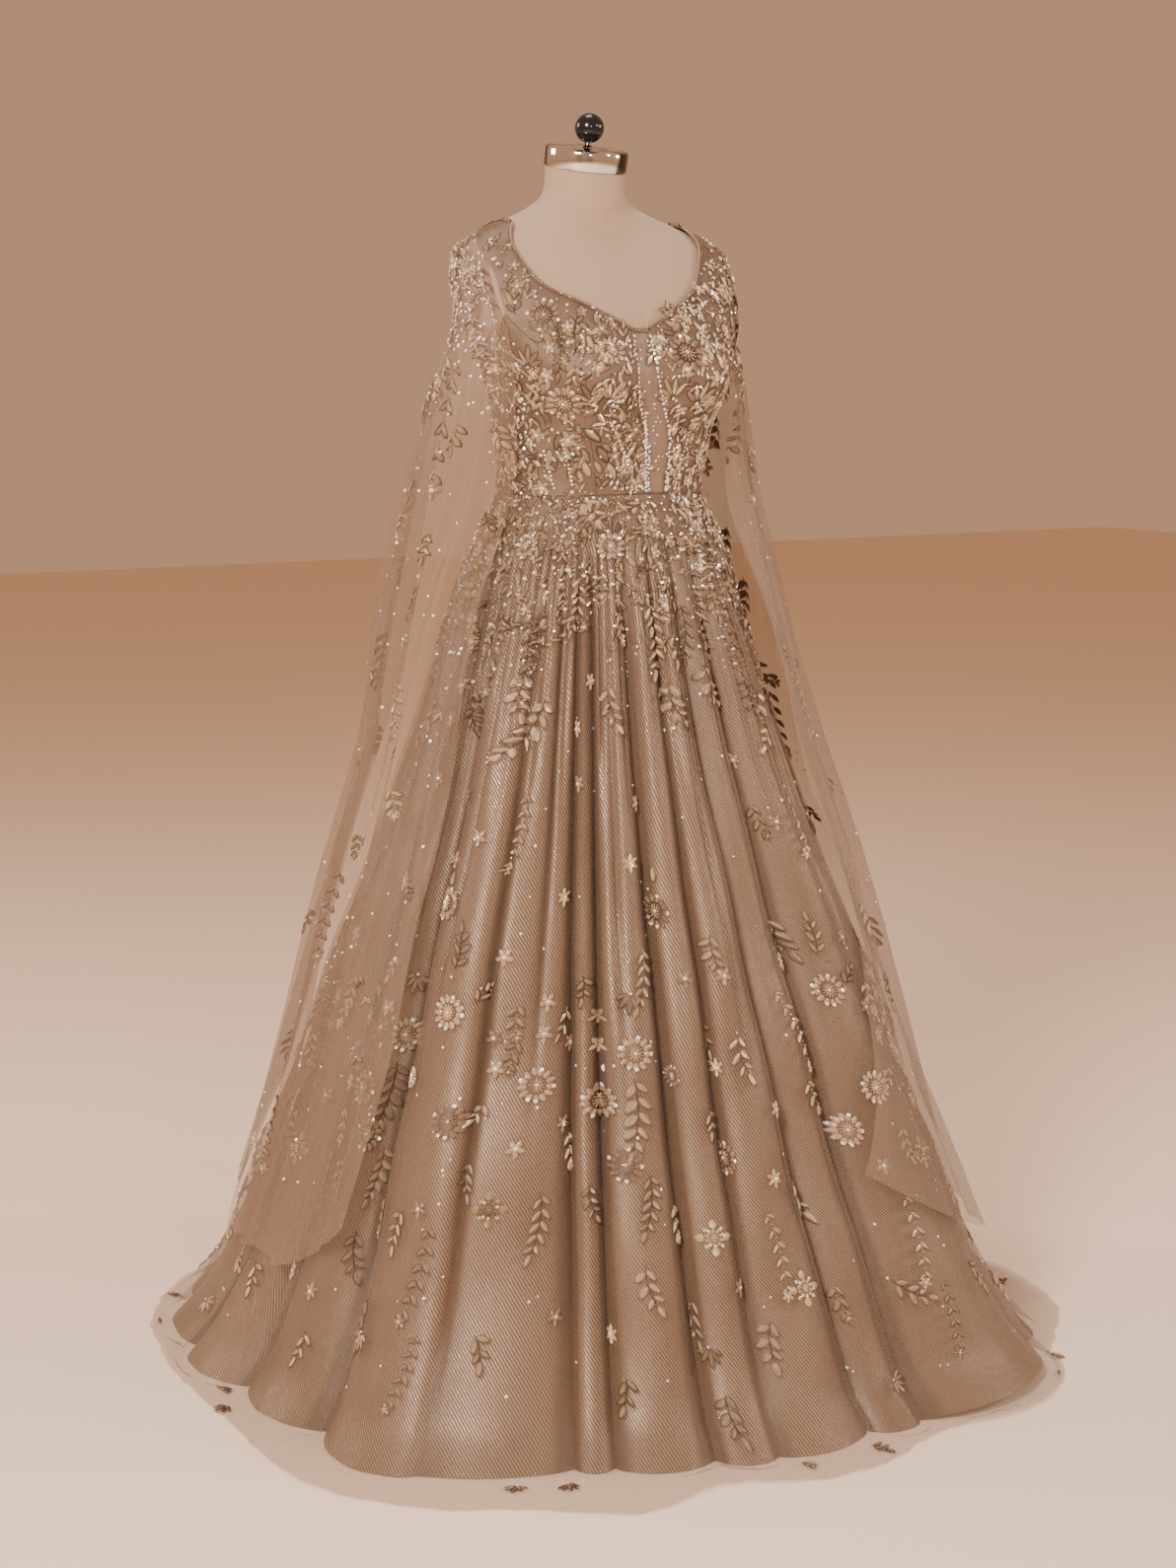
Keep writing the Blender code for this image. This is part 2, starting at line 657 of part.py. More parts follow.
def skirt_walls():
    """Inside and outside of the whole skirt, and of the net over it, row by row."""
    columns = fold_columns()
    skirt = ([], [])
    net = ([], [])
    for height in SKIRT_ROWS:
        places = [skirt_place(column, height) for column in columns]
        drop = SEAM_GAP if height == WAIST_HEIGHT else 0.0
        for grid, grown in zip(skirt, (0.0, SKIRT_WALL)):
            grid.append([round_body(a, r + grown, z - drop) for a, r, z in places])
    for row in NET_ROWS:
        drop = SEAM_GAP if row.height == WAIST_HEIGHT else 0.0
        turn = math.radians(row.turn_deg)
        rings = ([], [])
        for column in columns:
            angle, radius, height = skirt_place(column, row.height)
            arch_share = (1 - NET_FOLD_SHARE) * 0.02 * fold_growth(row.height)
            radius += SKIRT_WALL + row.gap + arch_share
            degrees = (math.degrees(angle) + 171) % 360 - 171
            radius += max(0.0, NET_EDGE_PROFILE(degrees) - radius) * row.spread
            if row.turn_deg > 45:
                height = 0.0
            for ring, grown in zip(rings, (0.0, NET_WALL)):
                along, rise = grown * math.cos(turn), grown * math.sin(turn)
                ring.append(round_body(angle, radius + along, height - drop + rise))
        for grid, ring in zip(net, rings):
            grid.append(ring)
    return columns, skirt, net


def gore(grid, columns, start_deg, end_deg):
    """The columns of a grid between two valleys, moved off the seams by half the gap."""
    angles = [fold.hem_deg + (after.hem_deg - fold.hem_deg) * t for fold, after, t in columns]
    first = min(range(len(angles)), key=lambda k: abs((angles[k] - start_deg + 180) % 360 - 180))
    last = min(range(len(angles)), key=lambda k: abs((angles[k] - end_deg + 180) % 360 - 180))
    count = (last - first) % len(angles) + 1
    picked = []
    for row in grid:
        line = [row[(first + k) % len(row)].copy() for k in range(count)]
        for edge, beside in ((0, 1), (-1, -2)):
            line[edge] += (line[beside] - line[edge]).normalized() * SEAM_GAP
        picked.append(line)
    return picked


def build_skirts(collection, lame, net_cloth):
    """The four gores of the skirt and the four of the net overlay."""
    columns, skirt, net = skirt_walls()
    for where, start, end in GORES:
        cloth_wall(f"skirt_{where}", *(gore(grid, columns, start, end) for grid in skirt), collection)
        finish(f"skirt_{where}", *lame)
        spots = []
        for rosette in NET_ROSETTES:
            if 0 < (rosette.deg - start) % 360 < (end - start) % 360:
                angle = math.radians(rosette.deg)
                spots.append(round_body(angle, base_radius(angle, rosette.height) + 0.02, rosette.height))
        walls = (gore(grid, columns, start, end) for grid in net)
        cloth_wall(f"overlay_{where}", *walls, collection, spots)
        finish(f"overlay_{where}", *net_cloth)


def armhole_line(grown):
    """Points over the sewn edge of the left armhole, from the front strap to the back one."""
    front = [(level.outer_deg, level.outer_z) for level in FRONT_PANEL[-STRAP_ROWS:]]
    back = [(level.inner_deg, level.inner_z) for level in reversed(BACK_PANEL[-STRAP_ROWS:-1])]
    over = FORM_CLEARANCE + BODICE_WALL + SEAM_GAP * 2 + grown
    return [settle(on_figure(*place), over) for place in front + back]


def along(points, share):
    """The point that share of the way along a row of points."""
    place = share * (len(points) - 1)
    index = min(int(place), len(points) - 2)
    return points[index].lerp(points[index + 1], place - index)


@lru_cache(maxsize=None)
def net_rings():
    """Height, angles and distances of the net's outside at each of its upright rows."""
    rings = []
    for row in NET_ROWS[:-2]:
        places = [skirt_place(column, row.height) for column in fold_columns()]
        walls = SKIRT_WALL + row.gap + NET_WALL
        rings.append((row.height, [(math.degrees(a), r + walls) for a, r, _ in places]))
    return rings


def net_reach(angle, height):
    """How far out the net's folds stand within a hand's breadth of an angle."""
    rings = net_rings()
    below = next(k for k in range(1, len(rings)) if rings[k][0] <= height)
    (high_z, high), (low_z, low) = rings[below - 1], rings[below]
    share = (high_z - height) / (high_z - low_z)
    turn = math.degrees(angle)
    return max(
        upper[1] + (lower[1] - upper[1]) * share
        for upper, lower in zip(high, low)
        if abs((lower[0] - turn + 180) % 360 - 180) < CAPE_BRIDGE_DEG
    )


def cape_drop(drop, down, u):
    """Angle, distance and height u of the way along a row, from the front edge to the back."""
    angle = math.radians(drop.front_deg + (drop.back_deg - drop.front_deg) * u)
    middle = 2 * drop.middle - (drop.front + drop.back) / 2
    radius = (1 - u) ** 2 * drop.front + 2 * u * (1 - u) * middle + u * u * drop.back
    radius += CAPE_WAVE_DEPTH * down * math.sin(math.tau * CAPE_WAVES * u)
    front = max(0.0, 1 - u / CAPE_CORNER) ** 1.4
    back = max(0.0, 1 - (1 - u) / CAPE_CORNER) ** 1.4
    height = drop.middle_z + (drop.front_z - drop.middle_z) * front
    height += (drop.back_z - drop.middle_z) * back
    return angle, radius, height


def cape_place(angle, radius, height, u, grown):
    """A point of a cape, pushed out until it is clear of the bodice or of the skirt."""
    if height < WAIST_HEIGHT:
        radius = max(radius, net_reach(angle, height) + CAPE_OVER_NET)
    over = CAPE_OVER_BODICE + (CAPE_OVER_PLATE - CAPE_OVER_BODICE) * math.sin(math.pi * u)
    for _ in range(8):
        radius += max(0.0, over - outside_figure(round_body(angle, radius, height)))
    return round_body(angle, radius + grown, height)


def cape_grid(drops, grown):
    """A cape's rows: the armhole, two over the shoulder, then one for each drop."""
    top = armhole_line(grown)
    shares = [column / CAPE_COLUMNS for column in range(CAPE_COLUMNS + 1)]
    grid = [[along(top, u) for u in shares]]
    for part_way in CAPE_SHOULDER:
        row = []
        for u in shares:
            angle, radius, height = cape_drop(drops[0], 0.0, u)
            start = along(top, u)
            level = start.z + (height - start.z) * part_way
            turn = math.atan2(start.x, -start.y)
            turn += (angle - turn) * part_way
            reach = math.hypot(start.x, start.y)
            row.append(cape_place(turn, reach + (radius - reach) * part_way, level, u, grown))
        grid.append(row)
    for index, drop in enumerate(drops, start=1):
        down = index / len(drops)
        grid.append([cape_place(*cape_drop(drop, down, u), u, grown) for u in shares])
    return grid


def build_capes(collection, net_cloth):
    """The two cape sleeves, sewn along the armholes and open in front and behind."""
    for hand, drops, turned in (("left", CAPE_LEFT, False), ("right", CAPE_RIGHT, True)):
        grids = [cape_grid(drops, grown) for grown in (0.0, NET_WALL)]
        if turned:
            grids = [[[flip(point) for point in row] for row in grid] for grid in grids]
        cloth_wall(f"cape_sleeve_{hand}", *grids, collection)
        finish(f"cape_sleeve_{hand}", *net_cloth)


def tilted(height, centre_y, y):
    """Height of a level once the neck leans forward from its base."""
    share = min(max((height - NECK_BASE) / 0.05, 0.0), 1.0)
    return height + math.tan(math.radians(NECK_TILT)) * (y - centre_y) * share


def build_form(collection, linen, chrome, black):
    """The limbless form with its arm plates, neck cap and knob."""
    heights = [0.90, 0.96, 1.02, 1.08, 1.14, 1.185, 1.225, 1.265, 1.30, 1.335, 1.37, 1.40, 1.43]
    heights += [1.46, 1.485, 1.505, 1.52, 1.535, 1.548, 1.56, 1.572, 1.585, 1.60, NECK_TOP]
    segments = 36
    shell = bmesh.new()
    rings = []
    for height in heights:
        centre = figure_section(height)[3]
        ring = []
        for k in range(segments):
            angle = math.tau * k / segments
            ease = FORM_EASE * min(max((1.575 - height) / 0.03, 0.0), 1.0)
            radius = figure_radius(angle, height, FORM_BUST_RISE) - ease
            x = min(max(radius * math.sin(angle), -arm_plane(height)), arm_plane(height))
            y = centre - radius * math.cos(angle)
            ring.append(shell.verts.new((x, y, tilted(height, centre, y))))
        rings.append(ring)
    for low, high in zip(rings, rings[1:]):
        for k in range(segments):
            shell.faces.new([low[k - 1], low[k], high[k], high[k - 1]])
    shell.faces.new(rings[0])
    shell.faces.new(reversed(rings[-1]))
    bmesh.ops.recalc_face_normals(shell, faces=shell.faces)
    mesh = bpy.data.meshes.new("form_body")
    shell.to_mesh(mesh)
    shell.free()
    add_object("form_body", mesh, collection)
    finish("form_body", *linen)

    lean = Matrix.Rotation(math.radians(NECK_TILT), 4, "X")
    neck_top = Matrix.Translation((0, CAP_CENTRE_Y, NECK_TOP)) @ lean
    turned_piece("form_neck_cap", cap_profile(), neck_top, collection)
    finish("form_neck_cap", *chrome)
    turned_piece("form_knob_stem", stem_profile(), neck_top, collection)
    finish("form_knob_stem", *chrome)
    turned_piece("form_knob", knob_profile(), neck_top, collection)
    finish("form_knob", *black)
    for hand, side in (("left", 1), ("right", -1)):
        name = f"form_arm_plate_{hand}"
        arm_plate(name, side, collection)
        finish(name, *linen)


def cap_profile():
    """Half outline of the neck cap, from its outer side to the axis."""
    low = SEAM_GAP
    top = low + CAP_HEIGHT
    edge = 0.002
    return [(0, top), (CAP_RADIUS - edge, top), (CAP_RADIUS, top - edge), (CAP_RADIUS, low), (0, low)]


def stem_profile():
    """Half outline of the stem between the cap and the knob."""
    low = CAP_HEIGHT + 2 * SEAM_GAP
    return [(0, low + STEM_HEIGHT), (STEM_RADIUS, low + STEM_HEIGHT), (STEM_RADIUS, low), (0, low)]


def knob_profile():
    """Half outline of the ball knob, flattened where it meets the stem."""
    low = CAP_HEIGHT + STEM_HEIGHT + 3 * SEAM_GAP
    foot = math.asin((STEM_RADIUS + 0.001) / KNOB_RADIUS)
    centre = low + KNOB_RADIUS * math.cos(foot)
    steps = 9
    turns = [foot + (math.pi - foot) * k / steps for k in range(steps + 1)]
    arc = [(KNOB_RADIUS * math.sin(a), centre - KNOB_RADIUS * math.cos(a)) for a in turns]
    return [(0, arc[-1][1]), *reversed(arc[:-1]), (0, low)]


def turned_piece(name, outline, place, collection):
    """A piece turned round its own upright axis from a half outline, with a Screw modifier."""
    profile = bmesh.new()
    points = [profile.verts.new((radius, 0, height)) for radius, height in outline]
    for start, end in zip(points, points[1:]):
        profile.edges.new((start, end))
    mesh = bpy.data.meshes.new(name)
    profile.to_mesh(mesh)
    profile.free()
    obj = add_object(name, mesh, collection)
    obj.matrix_world = place
    screw = obj.modifiers.new("turn", "SCREW")
    screw.steps = screw.render_steps = 24
    screw.use_merge_vertices = True
    screw.merge_threshold = 0.00005
    screw.use_smooth_shade = True
    return obj


def arm_plate(name, side, collection):
    """A thin oval plate on the flat where the form's arm is cut."""
    oval = bmesh.new()
    bmesh.ops.create_cone(
        oval, cap_ends=True, segments=24, radius1=1.0, radius2=0.94, depth=PLATE_THICKNESS
    )
    shape = Matrix.Diagonal((PLATE_SIZE[1], PLATE_SIZE[0], 1, 1))
    upright = Matrix.Rotation(side * (math.pi / 2 + math.atan(ARM_LEAN)), 4, "Y")
    bmesh.ops.transform(oval, matrix=upright @ shape, verts=oval.verts)
    mesh = bpy.data.meshes.new(name)
    oval.to_mesh(mesh)
    oval.free()
    obj = add_object(name, mesh, collection)
    centre_y, height = PLATE_CENTRE
    out = arm_plane(height) + 2 * SEAM_GAP + PLATE_THICKNESS / 2
    obj.location = (side * out, centre_y, height)
    return obj


def build_stand(collection, steel):
    """The round base and the pole that carry the form."""
    base = [
        (0, BASE_THICKNESS),
        (BASE_RADIUS - 0.006, BASE_THICKNESS),
        (BASE_RADIUS, BASE_THICKNESS - 0.006),
        (BASE_RADIUS, 0.0),
        (0, 0.0),
    ]
    turned_piece("stand_base", base, Matrix.Identity(4), collection)
    low, high = BASE_THICKNESS + SEAM_GAP, FORM_BOTTOM - SEAM_GAP
    pole = [(0, high), (POLE_RADIUS, high), (POLE_RADIUS, low), (0, low)]
    turned_piece("stand_pole", pole, Matrix.Identity(4), collection)
    for name in ("stand_base", "stand_pole"):
        finish(name, *steel)


def main():
    for obj in list(bpy.data.objects):
        bpy.data.objects.remove(obj)
    collection = bpy.data.collections.new("embroidered_gown")
    bpy.context.scene.collection.children.link(collection)
    satin = (("bodice_satin", (0.46, 0.29, 0.20)), 0.45, 0.25)
    lame = (("skirt_lame", (0.45, 0.30, 0.22)), 0.38, 0.45)
    net_cloth = (("fine_net", (0.55, 0.36, 0.26)), 0.60, 0.0)
    linen = (("form_linen", (0.72, 0.52, 0.40)), 0.80, 0.0)
    chrome = (("polished_chrome", (0.75, 0.75, 0.76)), 0.08, 1.0)
    black = (("black_knob", (0.012, 0.012, 0.014)), 0.22, 0.0)
    steel = (("painted_steel", (0.05, 0.05, 0.05)), 0.45, 0.0)
    build_stand(collection, steel)
    build_form(collection, linen, chrome, black)
    build_bodice(collection, satin)
    build_binding(collection, satin)
    build_skirts(collection, lame, net_cloth)
    build_capes(collection, net_cloth)


main()
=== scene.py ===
"""The embroidered gown, dressed: fine cloth, net, beadwork and the form that wears it.

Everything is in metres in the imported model's frame: +Z up, the front faces -Y, and +X is
the wearer's left. Angles round the body are in degrees from the front towards +X.
"""

from __future__ import annotations

import json
import logging
import math
from dataclasses import dataclass, field
from enum import Enum
from typing import NamedTuple, Protocol, Sequence

import bmesh
import bpy
import numpy as np
from mathutils import Matrix, Vector

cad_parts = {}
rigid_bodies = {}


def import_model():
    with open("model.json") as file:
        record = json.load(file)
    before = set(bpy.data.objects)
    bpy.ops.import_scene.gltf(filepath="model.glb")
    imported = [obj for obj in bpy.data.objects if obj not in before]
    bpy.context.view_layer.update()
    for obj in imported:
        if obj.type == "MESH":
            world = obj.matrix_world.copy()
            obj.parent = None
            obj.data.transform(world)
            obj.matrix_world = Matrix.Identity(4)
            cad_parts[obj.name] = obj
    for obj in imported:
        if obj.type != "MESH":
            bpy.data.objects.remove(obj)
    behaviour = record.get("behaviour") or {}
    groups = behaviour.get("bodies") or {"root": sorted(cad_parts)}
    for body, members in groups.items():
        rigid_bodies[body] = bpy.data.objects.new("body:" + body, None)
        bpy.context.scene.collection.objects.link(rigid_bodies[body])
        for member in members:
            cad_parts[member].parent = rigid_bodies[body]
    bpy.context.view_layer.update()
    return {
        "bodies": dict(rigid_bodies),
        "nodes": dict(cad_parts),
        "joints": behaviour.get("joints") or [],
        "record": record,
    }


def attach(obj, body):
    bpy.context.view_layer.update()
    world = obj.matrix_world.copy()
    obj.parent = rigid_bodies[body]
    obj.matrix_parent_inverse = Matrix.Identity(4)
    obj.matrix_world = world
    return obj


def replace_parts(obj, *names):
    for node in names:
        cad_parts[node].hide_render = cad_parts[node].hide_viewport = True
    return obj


log = logging.getLogger("gown")
Array = np.ndarray
Grid = np.ndarray
Colour = tuple[float, float, float]

WAIST_HEIGHT = 1.185
FORM_CLEARANCE = 0.0014
BODICE_WALL = 0.0020
SKIRT_WALL = 0.0016


# Shader maths


class Socket:
    """One output of a shader node, with arithmetic that adds Math nodes."""

    def __init__(self, shader: Shader, link: bpy.types.NodeSocket) -> None:
        """Wraps a node's output."""
        self.shader = shader
        self.link = link

    def _math(self, operation: str, *values: Socket | float) -> Socket:
        """A Math node on these values."""
        sockets = dict(enumerate(values))
        return self.shader.node("ShaderNodeMath", {"operation": operation}, sockets)

    def __add__(self, other: Socket | float) -> Socket:
        """Sum."""
        return self._math("ADD", self, other)

    def __sub__(self, other: Socket | float) -> Socket:
        """Difference."""
        return self._math("SUBTRACT", self, other)

    def __rsub__(self, other: float) -> Socket:
        """Difference from a number."""
        return self._math("SUBTRACT", other, self)

    def __mul__(self, other: Socket | float) -> Socket:
        """Product."""
        return self._math("MULTIPLY", self, other)

    def __truediv__(self, other: Socket | float) -> Socket:
        """Quotient."""
        return self._math("DIVIDE", self, other)

    __radd__ = __add__
    __rmul__ = __mul__

    def sine(self) -> Socket:
        """Sine of a value in turns."""
        return self._math("SINE", self * math.tau)

    def size(self) -> Socket:
        """Absolute value."""
        return self._math("ABSOLUTE", self)

    def larger(self, other: Socket | float) -> Socket:
        """The larger of two values."""
        return self._math("MAXIMUM", self, other)

    def ramp(self, low: float, high: float, start: float = 0.0, end: float = 1.0) -> Socket:
        """A smooth step from start to end while the value goes from low to high."""
        sockets = {0: self, 1: low, 2: high, 3: start, 4: end}
        settings = {"interpolation_type": "SMOOTHSTEP"}
        return self.shader.node("ShaderNodeMapRange", settings, sockets)


class Shader:
    """A material under construction, with a Principled BSDF at its end."""

    def __init__(self, name: str) -> None:
        """A new material of that name."""
        self.material = bpy.data.materials.new(name)
        self.material.use_nodes = True
        self.tree = self.material.node_tree
        self.surface = self.tree.nodes["Principled BSDF"]

    def node(self, kind: str, settings: dict | None = None, sockets: dict | None = None,
             out: int | str = 0) -> Socket:
        """Adds a node.

        Args:
            kind: Blender's name of the node's type.
            settings: attributes of the node, set before its sockets.
            sockets: input values or links, by index or name.
            out: which output to return.

        Returns:
            The wanted output.
        """
        made = self.tree.nodes.new(kind)
        for key, value in (settings or {}).items():
            setattr(made, key, value)
        for key, value in (sockets or {}).items():
            self.join(made.inputs[key], value)
        return Socket(self, made.outputs[out])

    def join(self, target: bpy.types.NodeSocket, value: Socket | float | tuple) -> None:
        """Links a wrapped socket to an input, or sets the input's value."""
        if isinstance(value, Socket):
            self.tree.links.new(value.link, target)
        elif isinstance(value, tuple) and len(value) == 3 and target.type == "RGBA":
            target.default_value = (*value, 1.0)
        else:
            target.default_value = value

    def attribute(self, name: str, out: str = "Vector") -> Socket:
        """A value stored on the mesh."""
        return self.node("ShaderNodeAttribute", {"attribute_name": name}, out=out)

    def part(self, vector: Socket, axis: str) -> Socket:
        """One coordinate of a vector."""
        return self.node("ShaderNodeSeparateXYZ", {}, {0: vector}, out=axis)

    def noise(self, vector: Socket, scale: float, detail: float = 2.0) -> Socket:
        """A noise from 0 to 1."""
        sockets = {"Vector": vector, "Scale": scale, "Detail": detail}
        return self.node("ShaderNodeTexNoise", {}, sockets)

    def stretch(self, vector: Socket, sizes: Colour) -> Socket:
        """A vector with each coordinate multiplied."""
        return self.node("ShaderNodeVectorMath", {"operation": "MULTIPLY"}, {0: vector, 1: sizes})

    def object_space(self) -> Socket:
        """The object's own coordinates."""
        return self.node("ShaderNodeTexCoord", out="Object")

    def mix(self, share: Socket | float, first: Socket | Colour, second: Socket | Colour) -> Socket:
        """A colour between two others."""
        return self.node("ShaderNodeMix", {"data_type": "RGBA"}, {0: share, 6: first, 7: second}, out=2)

    def bump(self, height: Socket, strength: float, distance: float) -> Socket:
        """A normal raised by a height."""
        sockets = {"Strength": strength, "Distance": distance, "Height": height}
        return self.node("ShaderNodeBump", {}, sockets, out="Normal")

    def finish(self, **sockets: Socket | float | tuple) -> bpy.types.Material:
        """Sets the surface's sockets, named with underscores for spaces, and returns the material."""
        for key, value in sockets.items():
            self.join(self.surface.inputs[key.replace("_", " ")], value)
        return self.material


# Finishes


@dataclass(frozen=True)
class Lame:
    """Metallic skirt cloth with a slanting twill, scattered glints painted as pale spots, and shade painted
    into its fold valleys.
    """

    shadow: Colour = (0.058, 0.034, 0.022)
    light: Colour = (0.41, 0.285, 0.200)
    # Colour of the shade painted into the fold valleys.
    hollow: Colour = (0.030, 0.017, 0.011)
    pitch: float = 0.0046
    slant: float = 0.65

    def make(self) -> bpy.types.Material:
        """The material, which reads metres across and down the cloth, and a mask that is low in the fold
        valleys, where it paints shade.
        """
        s = Shader("lame")
        placed = s.attribute("weave")
        # Painted shade: the stored third part is low in fold valleys, so this mask is 1 there and 0 on the
        # ridges.
        valley = 1 - s.part(placed, "Z").ramp(0.16, 0.60)
        weave = s.stretch(placed, (1.0, 1.0, 0.0))
        across, down = s.part(weave, "X"), s.part(weave, "Y")
        wobble = s.noise(weave, 9.0) * 0.0035
        lines = ((across - down * self.slant + wobble) / self.pitch).sine() * 0.5 + 0.5
        broken = s.noise(s.stretch(weave, (1.0, 0.30, 1.0)), 560.0, 3.0)
        # Painted highlight and real shine: these spots mix a pale highlight colour into the base colour and
        # also lower the roughness.
        sparkle_painted_highlight = s.noise(weave, 620.0, 2.0).ramp(0.56, 0.70)
        cloud = s.noise(s.stretch(weave, (1.0, 0.35, 1.0)), 13.0, 3.0)
        ridge = (lines * 0.85 + broken * 0.40).ramp(0.34, 0.92)
        tone = (ridge * 0.72 + cloud * 0.50 - 0.14).ramp(0.0, 1.0)
        colour = s.mix(tone, self.shadow, self.light)
        # Painted highlight: pale spots on the twill's ridges.
        colour = s.mix(sparkle_painted_highlight * ridge * 0.85, colour, (1.0, 0.88, 0.76))
        # Painted shade: the fold valleys are darkened towards the hollow colour.
        colour = s.mix(valley * 0.88, colour, self.hollow)
        rough = 0.42 - sparkle_painted_highlight * 0.24 - ridge * 0.06
        normal = s.bump(ridge * 0.8 + broken * 0.6, 0.75, 0.0013)
        return s.finish(Base_Color=colour, Roughness=rough, Metallic=0.66, Normal=normal)


@dataclass(frozen=True)
class Net:
    """Fine sheer net."""

    name: str
    colour: Colour = (0.285, 0.175, 0.112)
    veil: float = 0.12
    thread: float = 0.18
    pitch: float = 0.0018

    def make(self) -> bpy.types.Material:
        """The material, more solid along its threads."""
        s = Shader(self.name)
        weave = s.attribute("weave")
        across, down = s.part(weave, "X"), s.part(weave, "Y")
        first = ((across + down * 0.6) / self.pitch).sine().size()
        second = ((across - down * 0.6) / self.pitch).sine().size()
        threads = (1.0 - first).larger(1.0 - second).ramp(0.45, 0.95)
        cloud = s.noise(weave, 14.0, 2.0)
        alpha = self.veil + threads * self.thread + cloud * 0.04
        colour = s.mix(cloud, self.colour, tuple(c * 1.3 for c in self.colour))
        return s.finish(Base_Color=colour, Roughness=0.50, Alpha=alpha, Sheen_Weight=0.2)


@dataclass(frozen=True)
class Satin:
    """Bodice cloth under the embroidery."""

    dark: Colour = (0.115, 0.070, 0.047)
    light: Colour = (0.26, 0.172, 0.118)

    def make(self) -> bpy.types.Material:
        """The material, with a close net laid over a dull satin."""
        s = Shader("bodice_satin")
        place = s.object_space()
        x, z = s.part(place, "X"), s.part(place, "Z")
        first = ((x + z * 0.7) / 0.0024).sine()
        second = ((x - z * 0.7) / 0.0024).sine()
        threads = (first * second) * 0.5 + 0.5
        cloud = s.noise(place, 38.0, 4.0)
        colour = s.mix((threads * 0.5 + cloud * 0.6).ramp(0.2, 0.9), self.dark, self.light)
        normal = s.bump(threads + cloud, 0.4, 0.0008)
        return s.finish(Base_Color=colour, Roughness=0.44, Metallic=0.30, Normal=normal)


@dataclass(frozen=True)
class Linen:
    """Smooth close-woven cover of the dress form."""

    colour: Colour = (0.44, 0.295, 0.205)

    def make(self) -> bpy.types.Material:
        """The material."""
        s = Shader("form_linen")
        place = s.object_space()
        x, y, z = (s.part(place, axis) for axis in "XYZ")
        weft = (z / 0.0009).sine()
        warp = ((x + y) / 0.0009).sine()
        cloud = s.noise(place, 16.0, 3.0)
        colour = s.mix(cloud, self.colour, tuple(c * 0.90 for c in self.colour))
        normal = s.bump((weft + warp) * 0.25 + s.noise(place, 600.0) * 0.5, 0.18, 0.0006)
        return s.finish(Base_Color=colour, Roughness=0.72, Normal=normal, Sheen_Weight=0.15)


@dataclass(frozen=True)
class Metal:
    """Polished or painted metal, with faint wear and, when polished, dark bands round its axis painted into
    its colour as reflection.
    """

    name: str
    colour: Colour
    roughness: float
    metallic: float
    # Noise scale of the dark reflection bands painted into polished metal, or 0 for none.
    streaks: float = 0.0

    def make(self) -> bpy.types.Material:
        """The material."""
        s = Shader(self.name)
        place = s.object_space()
        smear = s.noise(s.stretch(place, (30.0, 30.0, 260.0)), 1.0, 3.0)
        dust = s.noise(place, 90.0, 4.0)
        colour = s.mix(dust * 0.25, self.colour, tuple(c * 0.82 for c in self.colour))
        # Painted reflection: dark bands, a tenth as bright, mixed into the colour.
        if self.streaks:
            painted_reflection = s.noise(s.stretch(place, (1.0, 1.0, 0.12)), self.streaks, 1.0).ramp(0.44, 0.56)
            colour = s.mix(painted_reflection, tuple(c * 0.10 for c in self.colour), colour)
        rough = smear * 0.06 + (self.roughness - 0.02)
        return s.finish(Base_Color=colour, Roughness=rough, Metallic=self.metallic)


@dataclass(frozen=True)
class Bead:
    """Beads, crystals and metal thread, tinted piece by piece."""

    name: str
    dark: Colour
    light: Colour
    roughness: float
    metallic: float
    stripe: float = 0.0
    coat: float = 0.0

    def make(self) -> bpy.types.Material:
        """The material, which reads each motif's own tint and thread lines."""
        s = Shader(self.name)
        thread = s.attribute("thread")
        tint = s.part(thread, "Z")
        colour = s.mix(tint, self.dark, self.light)
        extra: dict = {}
        if self.stripe:
            lines = ((s.part(thread, "Y") + s.part(thread, "X").size() * 0.8) / self.stripe).sine()
            shade = lines * 0.5 + 0.5
            colour = s.mix(shade * 0.55, colour, tuple(c * 0.45 for c in self.dark))
            extra["Normal"] = s.bump(1.0 - shade, 0.7, 0.0007)
        rough = tint * -0.10 + (self.roughness + 0.05)
        return s.finish(Base_Color=colour, Roughness=rough, Metallic=self.metallic,
                        Coat_Weight=self.coat, **extra)


class Tone(Enum):
    """The finishes that beadwork is made in."""

    GOLD = 0
    CRYSTAL = 1
    LEAF = 2
    OLIVE = 3
    ROSE = 4
    CORD = 5


BEAD_FINISHES = {
    Tone.GOLD: Bead("gold_beads", (0.60, 0.42, 0.27), (0.98, 0.78, 0.56), 0.22, 0.55),
    Tone.CRYSTAL: Bead("crystals", (0.95, 0.86, 0.75), (1.0, 0.97, 0.92), 0.16, 0.20, coat=1.0),
    Tone.LEAF: Bead("gold_thread", (0.27, 0.175, 0.110), (0.84, 0.62, 0.43), 0.34, 0.40, 0.0019),
    Tone.OLIVE: Bead("pale_gold_thread", (0.44, 0.31, 0.17), (0.88, 0.70, 0.43), 0.32, 0.45, 0.0019),
    Tone.ROSE: Bead("rose_thread", (0.32, 0.205, 0.140), (0.84, 0.63, 0.47), 0.32, 0.40, 0.0017),
    Tone.CORD: Bead("stem_cord", (0.060, 0.035, 0.021), (0.16, 0.098, 0.062), 0.45, 0.25),
}


# Tables and curves


